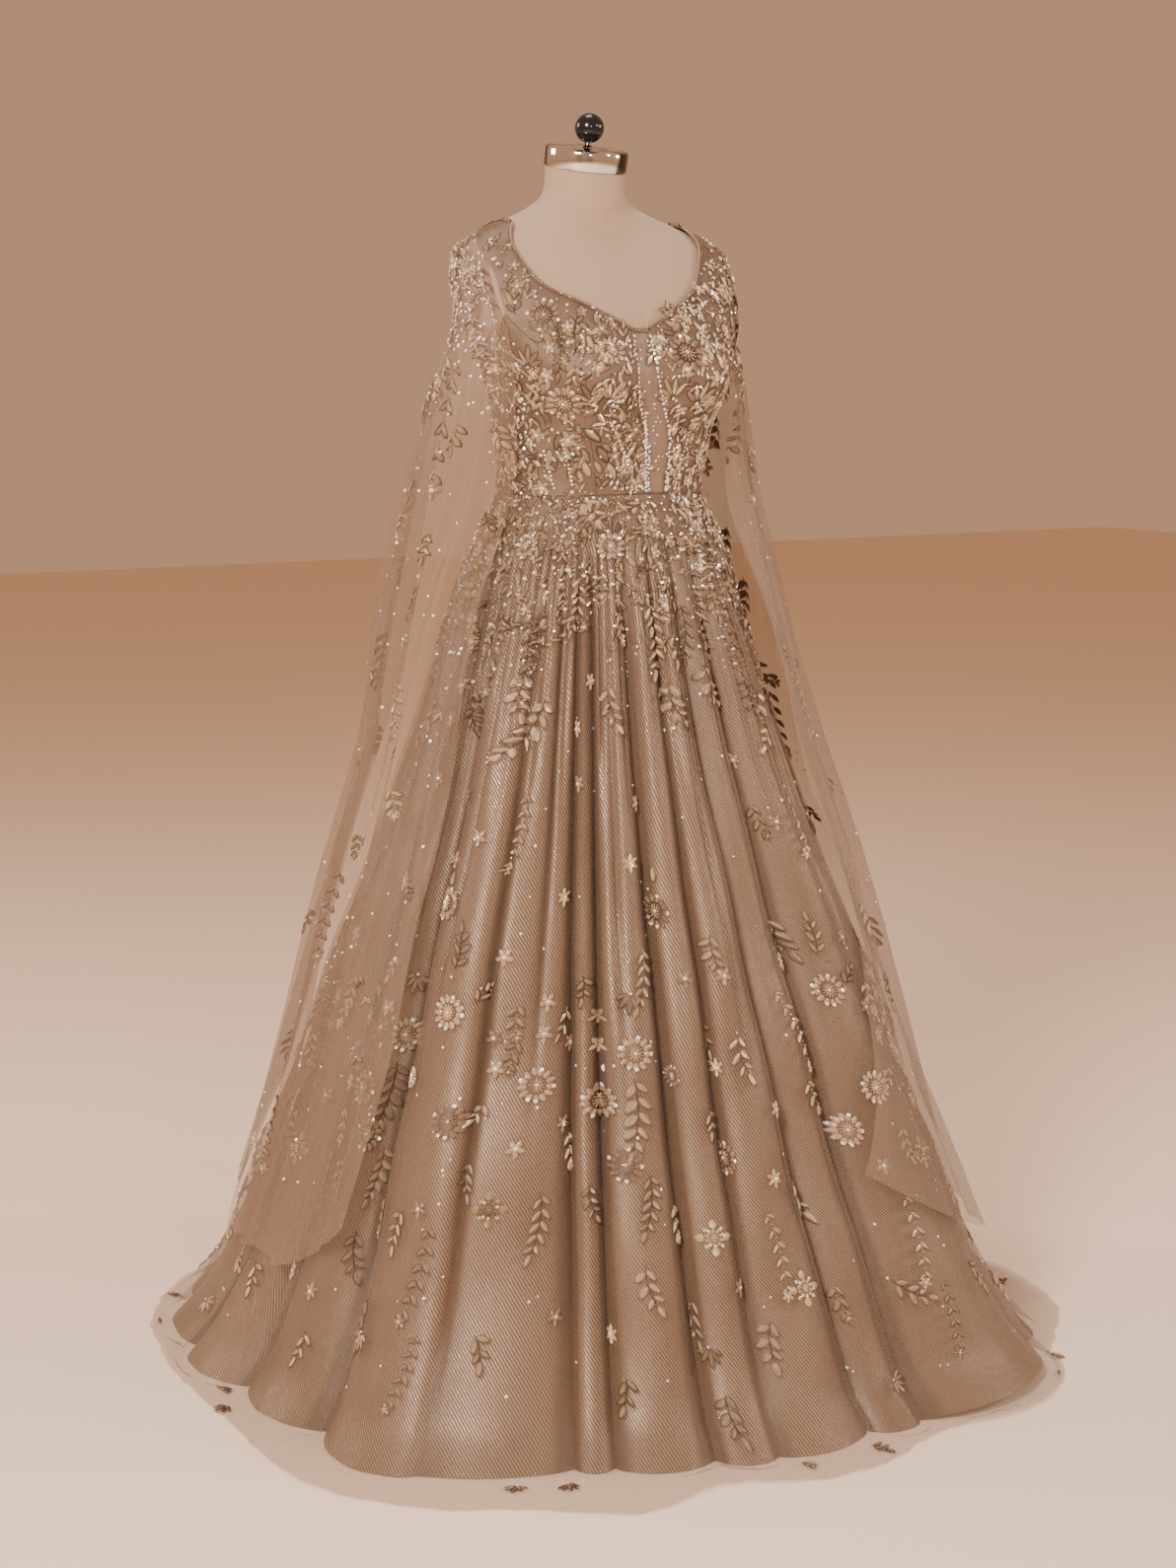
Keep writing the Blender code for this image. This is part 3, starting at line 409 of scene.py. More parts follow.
class Profile:
    """A smooth curve through points that never overshoots between two of them."""

    def __init__(self, at: Sequence[float], values: Sequence[float]) -> None:
        """Args: at: rising positions. values: the value at each."""
        self.at = np.asarray(at, float)
        self.values = np.asarray(values, float)
        step, rise = np.diff(self.at), np.diff(self.values)
        rate = rise / step
        same = rate[:-1] * rate[1:] > 0
        total = np.where(same, rate[:-1] + rate[1:], 1.0)
        inner = np.where(same, 2 * rate[:-1] * rate[1:] / total, 0.0)
        self.slopes = np.concatenate([rate[:1], inner, rate[-1:]])

    def __call__(self, position: Array | float) -> Array:
        """The curve's values at positions."""
        place = np.clip(position, self.at[0], self.at[-1])
        index = np.clip(np.searchsorted(self.at, place, side="right") - 1, 0, len(self.at) - 2)
        step = self.at[index + 1] - self.at[index]
        t = (place - self.at[index]) / step
        rise = self.values[index + 1] - self.values[index]
        start, end = self.slopes[index] * step, self.slopes[index + 1] * step
        square, cube = t * t, t * t * t
        bend = square * (3 * rise - 2 * start - end) + cube * (start + end - 2 * rise)
        return self.values[index] + t * start + bend


def columns_of(rows: Sequence[NamedTuple], key: str, *names: str) -> list[Profile]:
    """Profiles of the named columns of a table, over its key column."""
    ordered = sorted(rows, key=lambda row: getattr(row, key))
    at = [getattr(row, key) for row in ordered]
    return [Profile(at, [getattr(row, name) for row in ordered]) for name in names]


def table(row: type, *rows: tuple[float, ...]) -> tuple:
    """Rows of a table with named columns."""
    return tuple(row(*values) for values in rows)


class Section(NamedTuple):
    """One level of the figure under the gown."""

    height: float
    half_breadth: float
    front: float
    back: float
    centre_y: float
    squareness: float


FIGURE = table(
    Section, (0.9, 0.15, 0.1, 0.115, 0.0, 2.2), (1.0, 0.17, 0.112, 0.13, 0.0, 2.2),
    (1.1, 0.16, 0.108, 0.118, -0.002, 2.2), (1.185, 0.144, 0.103, 0.103, -0.004, 2.2),
    (1.25, 0.149, 0.109, 0.108, -0.01, 2.2), (1.345, 0.167, 0.117, 0.115, -0.014, 2.3),
    (1.38, 0.185, 0.113, 0.114, -0.012, 2.4), (1.42, 0.198, 0.105, 0.112, -0.008, 2.5),
    (1.47, 0.205, 0.086, 0.101, 0.005, 2.5), (1.505, 0.203, 0.069, 0.086, 0.013, 2.2),
    (1.53, 0.176, 0.056, 0.069, 0.019, 2.1), (1.548, 0.136, 0.05, 0.06, 0.024, 2.0),
    (1.563, 0.095, 0.049, 0.056, 0.027, 2.0), (1.58, 0.064, 0.052, 0.056, 0.03, 2.0),
    (1.6, 0.056, 0.055, 0.055, 0.032, 2.0), (1.66, 0.055, 0.055, 0.055, 0.032, 2.0),
)


class Level(NamedTuple):
    """One level of a bodice panel, from its inner edge to its outer one."""

    inner_deg: float
    inner_z: float
    outer_deg: float
    outer_z: float


FRONT_PANEL = table(
    Level, (8.0, 1.185, 36.0, 1.185), (8.5, 1.225, 38.0, 1.225), (9.5, 1.265, 41.0, 1.262),
    (9.2, 1.305, 45.0, 1.3), (8.6, 1.345, 50.0, 1.338), (8.0, 1.378, 59.0, 1.372), (7.0, 1.401, 68.0, 1.4),
    (24.0, 1.42, 74.0, 1.425), (40.0, 1.438, 75.0, 1.447), (53.5, 1.455, 76.0, 1.468),
    (63.5, 1.481, 79.5, 1.49), (73.5, 1.513, 84.0, 1.511), (82.0, 1.5425, 87.5, 1.5235),
    (90.0, 1.548, 90.0, 1.53),
)
SIDE_PANEL = table(
    Level, (36.0, 1.185, 95.0, 1.185), (38.0, 1.225, 95.0, 1.222), (41.0, 1.262, 95.0, 1.257),
    (45.0, 1.3, 95.0, 1.29), (50.0, 1.338, 95.0, 1.32), (59.0, 1.372, 95.0, 1.34),
    (68.0, 1.4, 95.0, 1.355), (74.0, 1.425, 94.0, 1.37),
)
BACK_PANEL = table(
    Level, (95.0, 1.185, 180.0, 1.185), (95.0, 1.222, 180.0, 1.222), (95.0, 1.257, 180.0, 1.26),
    (95.0, 1.29, 180.0, 1.298), (95.0, 1.32, 180.0, 1.335), (95.0, 1.34, 180.0, 1.37),
    (95.0, 1.355, 180.0, 1.4), (94.0, 1.37, 165.0, 1.409), (105.0, 1.402, 150.0, 1.429),
    (108.0, 1.432, 136.0, 1.457), (107.0, 1.462, 123.0, 1.487), (102.0, 1.49, 111.0, 1.513),
    (96.0, 1.511, 99.5, 1.534), (92.5, 1.5235, 94.5, 1.5445), (90.0, 1.53, 90.0, 1.548),
)
GUSSET_LEVELS = 7


class Turn(NamedTuple):
    """How far the centre front is turned on the form at one height."""

    height: float
    deg: float


FRONT_TURN = table(
    Turn, (1.185, 12.0), (1.225, 11.0), (1.265, 7.0), (1.305, -1.0), (1.345, -6.0), (1.401, -7.0),
    (1.45, -5.5), (1.5, -2.5), (1.54, 0.0), (1.6, 0.0),
)
CENTRE_TURN = columns_of(FRONT_TURN, "height", "deg")[0]


def front_levels(side: int) -> list[Level]:
    """The front panel's levels on the left (1) or the right (-1), turned with the centre front."""
    turns = [side * float(CENTRE_TURN(row.inner_z)) for row in FRONT_PANEL]
    return [row._replace(inner_deg=row.inner_deg + turn) for row, turn in zip(FRONT_PANEL, turns)]


class Ring(NamedTuple):
    """One level of the skirt's smooth base."""

    height: float
    side: float
    front: float
    back: float


SKIRT_BASE = table(
    Ring, (0.0, 0.58, 0.585, 0.59), (0.05, 0.538, 0.54, 0.55), (0.25, 0.45, 0.448, 0.46),
    (0.55, 0.347, 0.337, 0.35), (0.83, 0.253, 0.236, 0.248), (1.02, 0.201, 0.178, 0.186),
    (1.12, 0.172, 0.141, 0.145), (1.185, 0.1454, 0.1084, 0.1004),
)


class Fold(NamedTuple):
    """One fold: its valley's angles, how far it stands out, its arch and its lift."""

    hem_deg: float
    waist_deg: float
    valley: float
    arch: float
    lift: float


FOLDS = table(
    Fold, (-92, -94, -0.026, 0.028, 0.0), (-71, -75, -0.016, 0.044, 0.0), (-54, -56, 0.054, 0.008, 0.0),
    (-36, -43, -0.018, 0.016, 0.0), (-31, -36, -0.022, 0.03, 0.0), (-18, -22, -0.036, 0.024, 0.0),
    (-10, -8, -0.02, 0.03, 0.0), (5, 5, -0.032, 0.022, 0.0), (13, 19, -0.02, 0.07, 0.014),
    (45, 38, -0.006, 0.028, 0.0), (61, 55, -0.018, 0.032, 0.0), (78, 73, -0.014, 0.03, 0.0),
    (95, 91, -0.022, 0.036, 0.0), (114, 110, -0.018, 0.034, 0.0), (133, 130, -0.024, 0.038, 0.0),
    (152, 150, -0.016, 0.032, 0.0), (171, 170, -0.026, 0.04, 0.0), (190, 189, -0.018, 0.034, 0.0),
    (209, 208, -0.024, 0.038, 0.0), (229, 228, -0.018, 0.034, 0.0), (249, 247, -0.02, 0.032, 0.0),
)


class NetRow(NamedTuple):
    """One level of the net: the room left over the skirt."""

    height: float
    gap: float


NET_ROWS = table(
    NetRow, (1.185, 0.0016), (1.135, 0.0026), (1.05, 0.0042), (0.93, 0.0052), (0.74, 0.0062),
    (0.5, 0.0072), (0.26, 0.0085), (0.08, 0.011), (0.0, 0.015),
)


class Edge(NamedTuple):
    """A point of the net's edge on the floor."""

    deg: float
    radius: float


NET_EDGE = table(
    Edge, (-171, 0.655), (-150, 0.63), (-134, 0.64), (-114, 0.622), (-92, 0.622), (-79, 0.655),
    (-62, 0.722), (-50, 0.728), (-40, 0.7), (-30, 0.705), (-18, 0.645), (-7, 0.672), (12, 0.64),
    (27, 0.682), (45, 0.64), (65, 0.66), (92, 0.645), (120, 0.66), (150, 0.64), (189, 0.655),
)


class Drop(NamedTuple):
    """One level of a cape sleeve, as heights, edge angles and distances from the axis."""

    front_z: float
    middle_z: float
    back_z: float
    front_deg: float
    back_deg: float
    front: float
    middle: float
    back: float


CAPE_RIGHT = table(
    Drop, (1.405, 1.405, 1.405, 70, 116, 0.19, 0.214, 0.184),
    (1.33, 1.33, 1.33, 69, 121, 0.187, 0.236, 0.198), (1.2, 1.2, 1.2, 73, 123, 0.182, 0.268, 0.225),
    (1.04, 1.04, 1.04, 77, 127, 0.222, 0.3, 0.262), (0.86, 0.85, 0.85, 76, 129, 0.276, 0.33, 0.3),
    (0.66, 0.64, 0.65, 72, 131, 0.345, 0.385, 0.365), (0.45, 0.41, 0.43, 71, 131, 0.42, 0.44, 0.432),
    (0.255, 0.17, 0.22, 73, 129, 0.49, 0.505, 0.498),
)
CAPE_LEFT = table(
    Drop, (1.405, 1.405, 1.405, 70, 116, 0.19, 0.214, 0.184),
    (1.33, 1.33, 1.33, 68, 121, 0.187, 0.236, 0.198), (1.2, 1.2, 1.2, 66, 123, 0.182, 0.262, 0.222),
    (1.04, 1.04, 1.04, 60, 126, 0.222, 0.296, 0.262), (0.86, 0.85, 0.85, 50, 128, 0.276, 0.33, 0.3),
    (0.66, 0.64, 0.65, 37, 129, 0.345, 0.385, 0.365), (0.47, 0.41, 0.43, 24, 129, 0.418, 0.44, 0.432),
    (0.31, 0.17, 0.22, 13, 127, 0.47, 0.505, 0.498),
)


def smooth(value: Array | float, low: float, high: float) -> Array:
    """A smooth step from 0 at low to 1 at high."""
    t = np.clip((value - low) / (high - low), 0.0, 1.0)
    return t * t * (3 - 2 * t)


def waves(position: Array, seed: int, octaves: int = 4) -> Array:
    """A gentle random wave of about unit size along a position in turns, closed after one."""
    rng = np.random.default_rng(seed)
    total = np.zeros_like(position, dtype=float)
    for octave in range(octaves):
        count = int(rng.integers(2, 5)) * 2**octave
        phase = rng.uniform(0, math.tau)
        total += np.sin(math.tau * count * position + phase) / 1.6**octave
    return total / 1.7


# Surfaces


class Cloth(Protocol):
    """A surface that beadwork can be sewn to."""

    def at(self, u: Array, v: Array) -> Array:
        """Points of the surface."""
        ...


def polar(degrees: Array, radius: Array, height: Array) -> Array:
    """Points at angles, distances and heights round the axis."""
    angle = np.radians(degrees)
    return np.stack([radius * np.sin(angle), -radius * np.cos(angle), height + 0 * radius], -1)


def unit(vectors: Array) -> Array:
    """Vectors of length one."""
    return vectors / np.maximum(np.linalg.norm(vectors, axis=-1, keepdims=True), 1e-9)


@dataclass
class Figure:
    """The body shape that the form and the bodice share."""

    bust_height: float = 1.345
    bust_deg: float = 37.0
    bust_spread: float = 24.0
    bust_drop: float = 0.052
    rise: float = 0.030
    arm_cut: float = 0.190
    arm_height: float = 1.445
    arm_lean: float = 0.14
    chest_centre: float = 1.33
    profiles: list[Profile] = field(default_factory=list)

    def __post_init__(self) -> None:
        """Prepares the section curves."""
        self.profiles = columns_of(FIGURE, "height", *Section._fields[1:])

    def arm_plane(self, height: Array) -> Array:
        """How far from the middle the arms are cut off."""
        return self.arm_cut + self.arm_lean * (height - self.arm_height)

    def radius(self, angle: Array, height: Array, rise: float | None = None) -> Array:
        """Distance from the centre line to the surface at angles in radians."""
        side, front, back, _, power = (profile(height) for profile in self.profiles)
        depth = np.where(np.cos(angle) > 0, front, back)
        across, along = np.abs(np.sin(angle)) / side, np.abs(np.cos(angle)) / depth
        turn = (np.degrees(angle) + 180) % 360 - 180
        drop = (height - self.bust_height) / self.bust_drop
        cup = np.exp(-(((np.abs(turn) - self.bust_deg) / self.bust_spread) ** 2) - drop * drop)
        return (across**power + along**power) ** (-1 / power) + (rise or self.rise) * cup

    def on(self, degrees: Array, height: Array) -> Array:
        """Points of the rounded surface."""
        degrees, height = np.broadcast_arrays(np.asarray(degrees, float), height)
        angle = np.radians(degrees)
        radius = self.radius(angle, height)
        points = polar(degrees, radius, height)
        points[..., 1] += self.profiles[3](height)
        return points

    def outside(self, points: Array) -> Array:
        """How far points lie outside the figure, level with it."""
        x, y, z = points[..., 0], points[..., 1], points[..., 2]
        centre = self.profiles[3](z)
        angle = np.arctan2(x, centre - y)
        level = np.hypot(x, y - centre) - self.radius(angle, z)
        return np.maximum(level, np.abs(x) - self.arm_plane(z))

    def slope(self, points: Array) -> Array:
        """The direction straight out of the figure near points."""
        step = 0.001 * np.eye(3)
        parts = [self.outside(points + s) - self.outside(points - s) for s in step]
        return unit(np.stack(parts, -1))

    def settle(self, guess: Array, offset: Array | float) -> Array:
        """Points over the figure in the guesses' directions, that far off its surface.

        Args:
            guess: points to start from.
            offset: the distance off the surface.

        Returns:
            The points.
        """
        level = np.minimum(guess[..., 2], self.chest_centre)
        centre = np.stack([0 * level, self.profiles[3](level), level], -1)
        ray = guess - centre
        near, far = np.full(level.shape, 0.3), np.full(level.shape, 2.5)
        for _ in range(26):
            middle = (near + far) / 2
            out = self.outside(centre + ray * middle[..., None]) > 0
            far = np.where(out, middle, far)
            near = np.where(out, near, middle)
        surface = centre + ray * near[..., None]
        return surface + self.slope(surface) * np.asarray(offset)[..., None]


@dataclass
class BodiceCloth:
    """The bodice's outer face, by angle and height."""

    figure: Figure
    over: float = FORM_CLEARANCE + BODICE_WALL + 0.0002

    def at(self, u: Array, v: Array) -> Array:
        """Points at angles u in degrees and heights v."""
        return self.figure.settle(self.figure.on(u, v), self.over)


@dataclass
class SkirtCloth:
    """The skirt, by hem angle in degrees and by distance down from the waist."""

    lift: float = 0.0
    net: bool = False
    gather_count: int = 96
    crease: float = 0.017

    def __post_init__(self) -> None:
        """Prepares the fold table, closed round."""
        first = FOLDS[0]
        closed = FOLDS + (first._replace(hem_deg=first.hem_deg + 360, waist_deg=first.waist_deg + 360),)
        self.table = np.array(closed, float)
        self.base = columns_of(SKIRT_BASE, "height", "side", "front", "back")
        self.gap = columns_of(NET_ROWS, "height", "gap")[0]
        self.edge = columns_of(NET_EDGE, "deg", "radius")[0]

    def base_radius(self, angle: Array, height: Array) -> Array:
        """The skirt without its folds."""
        side, front, back = (profile(height) for profile in self.base)
        depth = np.where(np.cos(angle) > 0, front, back)
        return ((np.abs(np.sin(angle)) / side) ** 2.1 + (np.abs(np.cos(angle)) / depth) ** 2.1) ** (-1 / 2.1)

    def place(self, q: Array, height: Array) -> tuple[Array, Array, Array]:
        """Angle, distance and height of the skirt's inside.

        Args:
            q: hem angle in degrees.
            height: height over the floor.

        Returns:
            Degrees, distance and height.
        """
        turn = (q + 92) % 360 - 92
        index = np.clip(np.searchsorted(self.table[:, 0], turn, side="right") - 1, 0, len(FOLDS) - 1)
        fold, after = self.table[index], self.table[index + 1]
        t = (turn - fold[..., 0]) / (after[..., 0] - fold[..., 0])
        growth = np.clip((1.125 - height) / 1.125, 0, None) ** 0.60
        down = 1 - height / WAIST_HEIGHT
        waist = fold[..., 1] + (after[..., 1] - fold[..., 1]) * t
        degrees = waist + (turn - waist) * down
        arch = (4 * t * (1 - t)) ** 0.75
        out = fold[..., 2] + (after[..., 2] - fold[..., 2]) * t + fold[..., 3] * arch
        lift = fold[..., 4] * arch * np.clip(1 - height / 0.25, 0, None)
        radius = self.base_radius(np.radians(degrees), height) + out * growth
        span = np.radians(after[..., 0] - fold[..., 0]) * radius
        radius = radius + self.relief(turn, t, span, height)
        return degrees, radius, height + lift

    def relief(self, turn: Array, t: Array, span: Array, height: Array) -> Array:
        """Gathers below the waist, creased valleys, split folds and soft hollows.

        Args:
            turn: hem angle in degrees.
            t: share of the way across the fold.
            span: width of the fold in metres.
            height: height over the floor.

        Returns:
            How far the cloth moves out.
        """
        share = (turn + 92) / 360
        gather = smooth(height, 1.160, 1.10) * smooth(height, 0.66, 1.00)
        phase = self.gather_count * share + 0.35 * waves(share, 5)
        fine = 0.0068 * gather * (np.abs(np.sin(math.pi * phase)) ** 0.8 - 0.6) * (1 + 0.4 * waves(share, 9))
        top = smooth(height, 1.14, 0.98)
        edge = np.minimum(t, 1 - t) * span
        crease = -self.crease * np.exp(-((edge / 0.0075) ** 1.3)) * top * smooth(height, -0.05, 0.45)
        wide = smooth(span, 0.030, 0.060)
        middle = np.abs(t - 0.5 - 0.10 * np.sin(9 * share * math.tau)) * span
        split = -0.8 * self.crease * wide * np.exp(-((middle / 0.0070) ** 1.3)) * top
        split = split * smooth(height, 0.30, 0.78)
        quarter = np.minimum(np.abs(t - 0.24), np.abs(t - 0.77)) * span
        third = -0.55 * self.crease * wide * np.exp(-((quarter / 0.0060) ** 1.3)) * top
        third = third * smooth(height, 0.66, 0.92)
        slow = 0.0052 * smooth(height, 1.1, 0.6) * waves(share + 0.02 * np.sin(height * 7), 21)
        hem = 0.0075 * smooth(height, 0.36, 0.0) * waves(share, 23, 6)
        hollow = 0.0028 * smooth(height, 1.05, 0.6) * np.sin(height * 23 + 3 * waves(share, 33))
        return fine + crease + split + third + slow + hem + hollow

    def at(self, u: Array, v: Array) -> Array:
        """Points at hem angles u and distances v down the cloth."""
        u, v = np.broadcast_arrays(np.asarray(u, float), np.asarray(v, float))
        height = np.clip(WAIST_HEIGHT - v, 0, None)
        degrees, radius, z = self.place(u, height)
        if not self.net:
            return polar(degrees, radius + self.lift, z)
        share = (u + 92) / 360
        room = self.gap(height)
        soft = 0.38 * room * smooth(height, 1.1, 0.9) * waves(share, 51, 6)
        radius = radius + SKIRT_WALL + room + soft + self.lift
        floor = np.clip(v - WAIST_HEIGHT, 0, None) / 0.10
        wave = waves(share, 71, 6)
        reach = self.edge((degrees + 171) % 360 - 171) - radius + 0.012 * wave
        radius = radius + np.clip(reach, 0.012, None) * floor
        skirt_wave = np.abs(waves(share + 0.004 * floor, 83, 7))
        rise = 0.0012 + self.lift + 0.026 * skirt_wave * floor**0.7 * (1.25 - floor)
        flare = 0.5 * (1 - np.cos(math.pi * np.clip(floor * 6, 0, 1)))
        return polar(degrees, radius, z * (1 - flare) + rise * (0.15 + flare))


@dataclass
class CapeCloth:
    """A cape sleeve, by share of the way across from front to back, and of the way down."""

    figure: Figure
    net: SkirtCloth
    drops: Sequence[Drop]
    side: float
    lift: float = 0.0
    wave_count: float = 4.5
    corner: float = 0.30
    shoulder: float = 0.17

    def __post_init__(self) -> None:
        """Prepares the drop curves and the reach of the skirt below."""
        rows = np.arange(len(self.drops)) / (len(self.drops) - 1)
        self.fields = [Profile(rows, [d[k] for d in self.drops]) for k in range(len(Drop._fields))]
        front = [(level.outer_deg, level.outer_z) for level in FRONT_PANEL[-4:]]
        back = [(level.inner_deg, level.inner_z) for level in reversed(BACK_PANEL[-4:-1])]
        places = front + back
        shares = np.arange(len(places)) / (len(places) - 1)
        self.top_deg = Profile(shares, [place[0] for place in places])
        self.top_z = Profile(shares, [place[1] for place in places])
        degrees, heights = np.arange(0, 360, 1.5), np.linspace(0, WAIST_HEIGHT, 80)
        grid = self.net.at(degrees[None, :], WAIST_HEIGHT - heights[:, None])
        turn = np.degrees(np.arctan2(grid[..., 0], -grid[..., 1])) % 360
        reach = np.hypot(grid[..., 0], grid[..., 1])
        self.reach = np.zeros((len(heights), 360))
        for shift in range(-9, 10):
            bins = (np.round(turn).astype(int) + shift) % 360
            rows_index = np.broadcast_to(np.arange(len(heights))[:, None], bins.shape)
            np.maximum.at(self.reach, (rows_index, bins), reach)

    def net_reach(self, degrees: Array, height: Array) -> Array:
        """How far out the net stands near an angle, for heights below the waist.

        Args:
            degrees: angles from the front.
            height: height over the floor.

        Returns:
            The distances.
        """
        place = np.clip(height / WAIST_HEIGHT, 0, 0.999) * (len(self.reach) - 1)
        low = place.astype(int)
        part = place - low
        turn = degrees % 360
        left = turn.astype(int)
        across = turn - left

        def pick(row: Array) -> Array:
            """The reach along one row, between whole degrees."""
            return self.reach[row, left % 360] * (1 - across) + self.reach[row, (left + 1) % 360] * across

        return pick(low) * (1 - part) + pick(low + 1) * part

    def at(self, u: Array, v: Array) -> Array:
        """Points at shares u across and v down."""
        u, v = np.broadcast_arrays(np.asarray(u, float), np.asarray(v, float))
        u = np.clip(u, 0, 1)
        over = FORM_CLEARANCE + BODICE_WALL + 0.0008 + self.lift
        top = self.figure.settle(self.figure.on(self.top_deg(u), self.top_z(u)), over)
        fall = np.clip((v - self.shoulder) / (1 - self.shoulder), 0, 1)
        fz, mz, bz, fd, bd, front, middle, back = (profile(fall) for profile in self.fields)
        degrees = fd + (bd - fd) * u
        bulge = 2 * middle - (front + back) / 2
        radius = (1 - u) ** 2 * front + 2 * u * (1 - u) * bulge + u * u * back
        swing = 0.006 * smooth(v, 0.1, 0.5) * np.sin(math.tau * (9.5 * u + 0.8 * np.sin(5 * v)))
        radius = radius + 0.013 * fall * np.sin(math.tau * self.wave_count * u + 0.6 * np.sin(v * 4)) + swing
        ends = [np.clip(1 - part / self.corner, 0, None) ** 1.4 for part in (u, 1 - u)]
        height = mz + (fz - mz) * ends[0] + (bz - mz) * ends[1]
        start = np.clip(v / self.shoulder, 0, 1)
        top_turn = np.degrees(np.arctan2(top[..., 0], -top[..., 1]))
        degrees = top_turn + (degrees - top_turn) * start
        top_reach = np.hypot(top[..., 0], top[..., 1])
        radius = top_reach + (radius - top_reach) * start**0.5
        height = top[..., 2] + (height - top[..., 2]) * start
        hung = self.clear(degrees, radius, height, u, v) + self.lift
        points = polar(degrees, hung, height)
        sewn = smooth(v, 0.0, 0.022)[..., None]
        points = top * (1 - sewn) + points * sewn
        points[..., 0] *= self.side
        return points

    def clear(self, degrees: Array, radius: Array, height: Array, u: Array, v: Array) -> Array:
        """Distances from the axis, pushed out clear of the bodice and the skirt."""
        below = self.net_reach(degrees * self.side, height) + 0.009
        radius = np.where(height < WAIST_HEIGHT, np.maximum(radius, below), radius)
        room = 0.0075 + 0.0035 * np.sin(math.pi * u)
        for _ in range(6):
            short = room - self.figure.outside(polar(degrees, radius, height))
            radius = radius + np.clip(short, 0, None)
        return radius


def normals(cloth: Cloth, u: Array, v: Array, du: float, dv: float) -> tuple[Array, Array, Array]:
    """Steps along a surface and the direction out of it.

    Args:
        cloth: the surface.
        u: first coordinates.
        v: second coordinates.
        du: step in u.
        dv: step in v.

    Returns:
        The change of place per unit of u, the same for v, and the outward unit normal.
    """
    across = (cloth.at(u + du, v) - cloth.at(u - du, v)) / (2 * du)
    along = (cloth.at(u, v + dv) - cloth.at(u, v - dv)) / (2 * dv)
    out = unit(np.cross(across, along))
    points = cloth.at(u, v)
    outward = points * np.array([1.0, 1.0, 0.0])
    flipped = np.sum(out * outward, -1, keepdims=True) < 0
    return across, along, np.where(flipped, -out, out)


# Meshes


def make_object(name: str, vertices: Array, faces: Sequence[Sequence[int]],
                materials: Sequence[bpy.types.Material], sharp: float = 50.0) -> bpy.types.Object:
    """Makes a smooth-shaded object that rides on the gown.

    Args:
        name: the piece's name.
        vertices: its points.
        faces: corner indices of each face.
        materials: its materials, in slot order.
        sharp: edges steeper than this many degrees stay sharp.

    Returns:
        The object.
    """
    mesh = bpy.data.meshes.new(name)
    mesh.from_pydata(vertices.tolist(), [], [list(map(int, face)) for face in faces])
    mesh.update()
    mesh.shade_smooth()
    mesh.set_sharp_from_angle(angle=math.radians(sharp))
    made = bpy.data.objects.new(name, mesh)
    bpy.context.scene.collection.objects.link(made)
    for material in materials:
        mesh.materials.append(material)
    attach(made, "root")
    return made


def store(piece: bpy.types.Object, name: str, values: Array) -> None:
    """Stores a vector for each point of a piece."""
    layer = piece.data.attributes.new(name, "FLOAT_VECTOR", "POINT")
    layer.data.foreach_set("vector", np.ascontiguousarray(values, np.float32).ravel())


def weave_lengths(grid: Grid) -> Grid:
    """Metres across, from the middle column, and down, along each column, of a cloth grid."""
    across = np.linalg.norm(np.diff(grid, axis=1), axis=-1)
    down = np.linalg.norm(np.diff(grid, axis=0), axis=-1)
    rows, columns = grid.shape[:2]
    right = np.concatenate([np.zeros((rows, 1)), np.cumsum(across, axis=1)], axis=1)
    right -= right[:, columns // 2][:, None]
    fall = np.concatenate([np.zeros((1, columns)), np.cumsum(down, axis=0)], axis=0)
    fall = np.broadcast_to(fall.mean(axis=1)[:, None], (rows, columns))
    return np.stack([right, fall, 0 * fall], -1)


def hollows(grid: Grid, window: int = 17, depth: float = 0.016) -> Array:
    """How far each point stands out of its neighbours in its row, from 0 in a valley to 1 on a ridge. The
    skirt's material paints shade where it is low.
    """
    reach = np.hypot(grid[..., 0], grid[..., 1])
    padded = np.pad(reach, ((0, 0), (window // 2, window // 2)), mode="edge")
    sums = np.cumsum(np.pad(padded, ((0, 0), (1, 0))), axis=1)
    mean = (sums[:, window:] - sums[:, :-window]) / window
    return np.clip(0.5 + (reach - mean) / depth, 0, 1)


